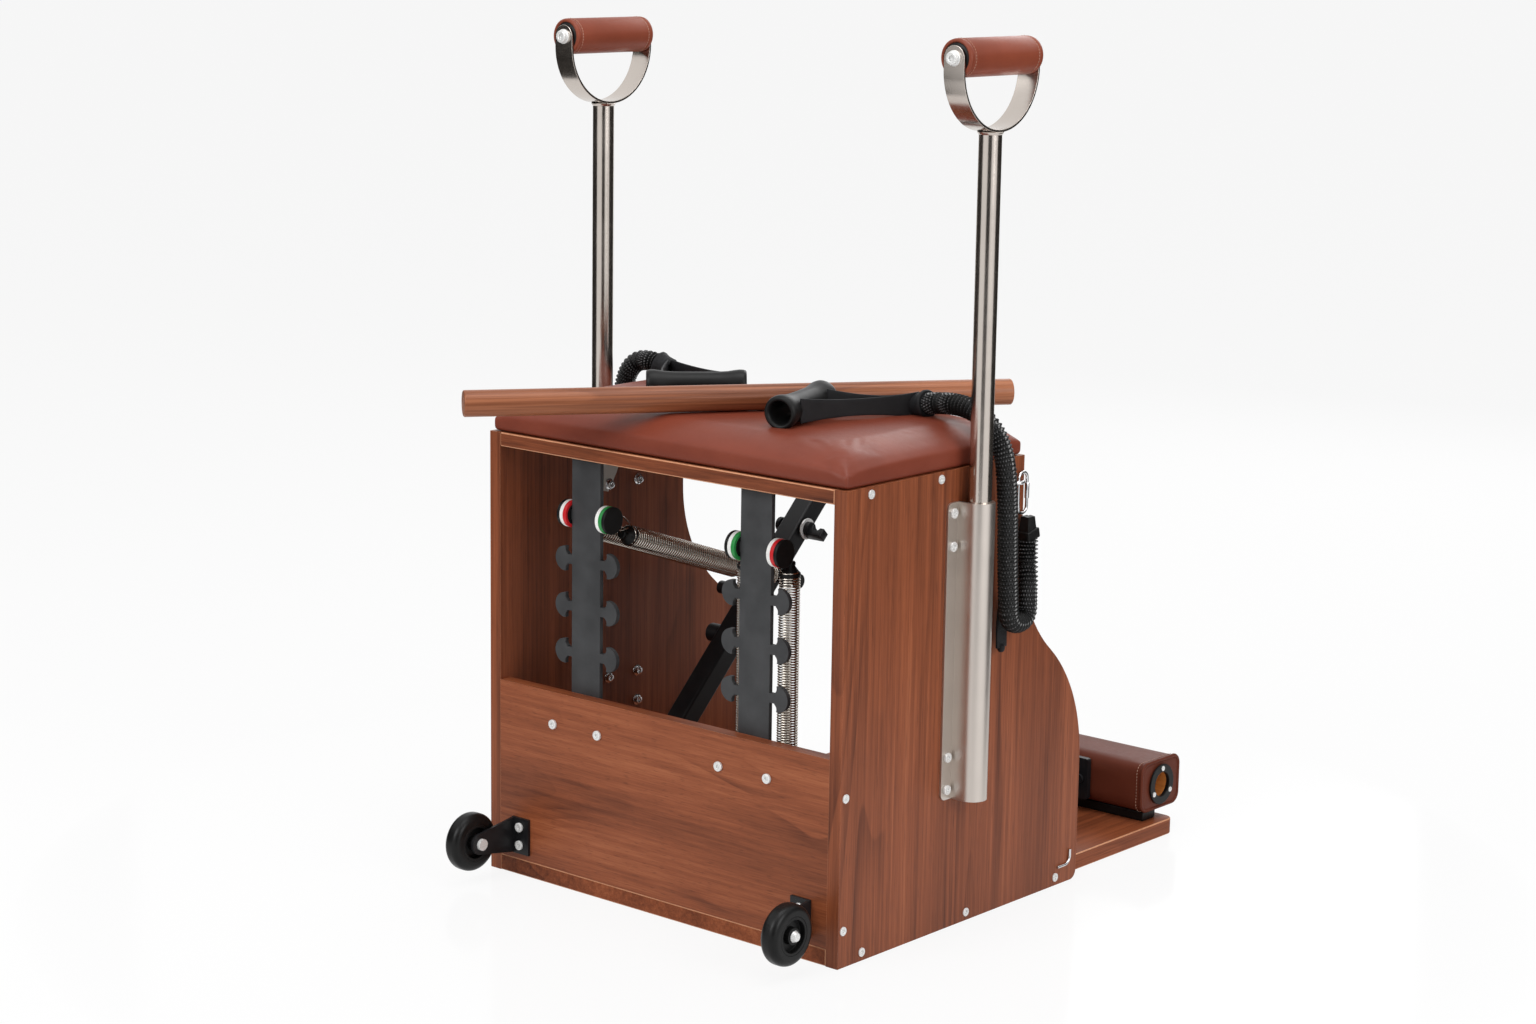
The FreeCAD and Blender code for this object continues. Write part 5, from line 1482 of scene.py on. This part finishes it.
def stitches(points, outs, long=0.0015):
    """A row of short threads round a closed line, each a stretched sphere half sunk in the leather."""
    model = made(bpy.ops.mesh.primitive_uv_sphere_add, segments=8, ring_count=6, radius=1.0)
    model.scale = (THREAD_RADIUS, THREAD_RADIUS, long)
    place_in_mesh(model)
    copies = []
    for index, point in enumerate(points):
        ahead = points[(index + 1) % len(points)] - point
        copy = twin(model)
        copy.matrix_world = standing_at(point + outs[index] * (THREAD_RADIUS * 0.2), ahead)
        copies.append(copy)
    bpy.data.objects.remove(model)
    return smooth(place_in_mesh(join("thread", copies)), 60)


wrap = made(bpy.ops.mesh.primitive_cube_add, size=2.0)
wrap.scale = (pedal_half.x - WRAP_ROOM, pedal_half.y - WRAP_ROOM, pedal_half.z - WRAP_ROOM)
wrap.location = pedal_middle
place_in_mesh(wrap)
only(wrap)
bpy.ops.object.mode_set(mode="EDIT")
bpy.ops.mesh.select_mode(type="EDGE")
bpy.ops.mesh.select_all(action="DESELECT")
shape = bmesh.from_edit_mesh(wrap.data)
for edge in shape.edges:
    along = edge.verts[0].co - edge.verts[1].co
    edge.select_set(abs(along.x) > 0.1)
bmesh.update_edit_mesh(wrap.data)
bpy.ops.mesh.bevel(offset=PEDAL_EDGE, segments=6, profile=0.5)
leave_edit()
voxels(wrap, PEDAL_VOXEL)
modify(wrap, "SMOOTH", factor=0.4, iterations=2)
puffed(wrap, lambda place: abs(place.x - pedal_middle.x) > pedal_half.x - END_HOLD, PEDAL_PRESSURE,
       PEDAL_CAP)
modify(wrap, "SUBSURF", levels=1, render_levels=1)
cutter = place_in_mesh(made(bpy.ops.mesh.primitive_cylinder_add, vertices=48, radius=BORE_CLEAR,
                            depth=pedal_half.x * 3, location=pedal_middle,
                            rotation=(0, math.radians(90), 0)))
modify(wrap, "BOOLEAN", operation="DIFFERENCE", object=cutter, solver="EXACT")
bpy.data.objects.remove(cutter)
smooth(wrap, 40)
welts = []
threads = []
welt_middle = pedal_middle + Vector((0, 0, WELT_RADIUS * 0.25))
welt_y, welt_z = pedal_half.y - WELT_RADIUS * 0.8, pedal_half.z - WELT_RADIUS * 0.8
thread_y, thread_z = pedal_half.y - STITCH_SINK, pedal_half.z - STITCH_SINK
for way in (-1, 1):
    x = pedal_middle.x + way * (pedal_half.x - WELT_RADIUS * 0.9)
    loop = round_loop(x, welt_y, welt_z, PEDAL_EDGE, welt_middle, WELT_STEP)[0]
    welts.append(smooth(tube("welt", loop, lambda run: WELT_RADIUS, 12, closed=True), 60))
    x = pedal_middle.x + way * (pedal_half.x - STITCH_INSET)
    threads.append(stitches(*round_loop(x, thread_y, thread_z, PEDAL_EDGE, pedal_middle, STITCH_GAP)))
welt = join("pedal_welt", welts)
thread = join("pedal_thread", threads)
lift = (Matrix.Translation(AXLE) @ Matrix.Rotation(PEDAL_LIFT, 4, "X") @ Matrix.Translation(-AXLE)
        @ Matrix.Translation((PEDAL_SHIFT, 0, 0)))
for side in ("left", "right"):
    for model, name, finish in ((wrap, "pedal_wrap", pedal_hide), (welt, "pedal_welt", pedal_hide),
                                (thread, "pedal_stitches", pale_thread)):
        piece = twin(model) if side == "left" else model
        if side == "left":
            piece.matrix_world = lift
        stands_for = ("pedal_leather_" + side,) if name == "pedal_wrap" else ()
        finish_piece(piece, name + "_" + side, finish, "pedal_" + side, stands_for)
    rigid_copy("pedal_core_" + side, "pedal_block_" + side, orange_wood, 0.0)
print("pedals done")

# %% [markdown]
# Three screws hold each ring on a pedal's end, at twelve, four and eight o'clock.

# %% Ring screws
RING_SCREW_CIRCLE = 0.0222
RING_SCREW_OUT = 0.0020
ring_screw = socket_head(0.0035, 0.0016)
for side in ("left", "right"):
    heads = []
    for way in (-1, 1):
        for degrees in (90, 210, 330):
            angle = math.radians(degrees)
            place = Vector((pedal_middle.x + way * (pedal_half.x + RING_SCREW_OUT),
                            pedal_middle.y + RING_SCREW_CIRCLE * math.cos(angle),
                            pedal_middle.z + RING_SCREW_CIRCLE * math.sin(angle)))
            heads.append(set_out(ring_screw, place, (way, 0, 0)))
    screws = join("ring_screws_" + side, heads)
    if side == "left":
        screws.matrix_world = lift
    finish_piece(screws, "ring_screws_" + side, zinc_plate, "pedal_" + side)
bpy.data.objects.remove(ring_screw)
print("ring screws done")

# %% [markdown]
# The hand grips are leather rolls with a folded hem at both ends, stitched all round, over a black
# end cap. One profile spun about the grip's axis gives hem and groove. Big round-headed bolts with
# washers hold them in the yokes.

# %% Hand grips
GRIP_HEM = ((0.0100, 0.0030), (0.0180, 0.0030), (0.0186, 0.0010), (0.0198, 0.0001), (0.0214, 0.0004),
            (0.0225, 0.0016), (0.0229, 0.0036), (0.0229, 0.0062), (0.0226, 0.0074), (0.0222, 0.0079),
            (0.0226, 0.0085), (0.0230, 0.0100))
GRIP_CAP = ((0.0, 0.0012), (0.0175, 0.0012), (0.0186, 0.0022), (0.0186, 0.0040), (0.0, 0.0040))
GRIP_WASHER = ((0.0, 0.0), (0.0094, 0.0), (0.0094, 0.0011), (0.0090, 0.0015), (0.0, 0.0015))
GRIP_WASHER_BACK = 0.0014
GRIP_HEAD = (0.0078, 0.0050)
POLE_RIM = ((0.0136, 0.0), (0.0143, 0.0002), (0.0152, 0.0016), (0.0162, 0.0032), (0.0158, 0.0040),
            (0.0136, 0.0040), (0.0136, 0.0))
POLE_TOP = 0.9815
HEM_STITCH = 0.0098
HEM_RADIUS = 0.0229
HEM_THREADS = 40
HEM_THREAD_LENGTH = 0.0012
grip_head = socket_head(*GRIP_HEAD, 0.45)
for side in ("left", "right"):
    grip_node = "grip_" + side
    low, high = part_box(grip_node)
    middle = (low + high) / 2
    start = Vector((middle.x, low.y, middle.z))
    end = Vector((middle.x, high.y, middle.z))
    roll = spun("grip_roll_" + side, both_ends(GRIP_HEM, (end - start).length), start, end, 48)
    finish_piece(roll, "grip_roll_" + side, grip_hide, "grip_" + side, (grip_node,))
    rows = []
    caps = []
    for foot, ahead in ((start, 1.0), (end, -1.0)):
        angles = [2 * math.pi * step / HEM_THREADS for step in range(HEM_THREADS)]
        outs = [Vector((math.cos(angle), 0, math.sin(angle))) for angle in angles]
        points = [foot + Vector((0, ahead * HEM_STITCH, 0)) + out * HEM_RADIUS for out in outs]
        rows.append(stitches(points, outs, HEM_THREAD_LENGTH))
        caps.append(spun("cap", GRIP_CAP, foot, foot + Vector((0, ahead * 0.01, 0)), 40))
    finish_joined(rows, "grip_stitches_" + side, pale_thread, "grip_" + side)
    finish_joined(caps, "grip_caps_" + side, black_plastic, "grip_" + side)
    bolt_node = "grip_bolt_" + side
    low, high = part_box(bolt_node)
    heads = []
    for foot, ahead in ((low.y, -1.0), (high.y, 1.0)):
        face = Vector((middle.x, foot - ahead * GRIP_HEAD[1], middle.z))
        heads.append(set_out(grip_head, face, (0, ahead, 0)))
        heads.append(spun("washer", GRIP_WASHER, face - Vector((0, ahead * GRIP_WASHER_BACK, 0)), face, 32))
    finish_joined(heads, "grip_bolts_" + side, zinc_plate, node_body[bolt_node],
                  (bolt_node,))
    pole_top = Vector((middle.x, middle.y, POLE_TOP))
    rim = spun("pole_rim_" + side, POLE_RIM, pole_top, pole_top + Vector((0, 0, 0.01)), 40)
    finish_piece(rim, "pole_rim_" + side, tube_steel, "handle_" + side)
bpy.data.objects.remove(grip_head)
print("hand grips done")
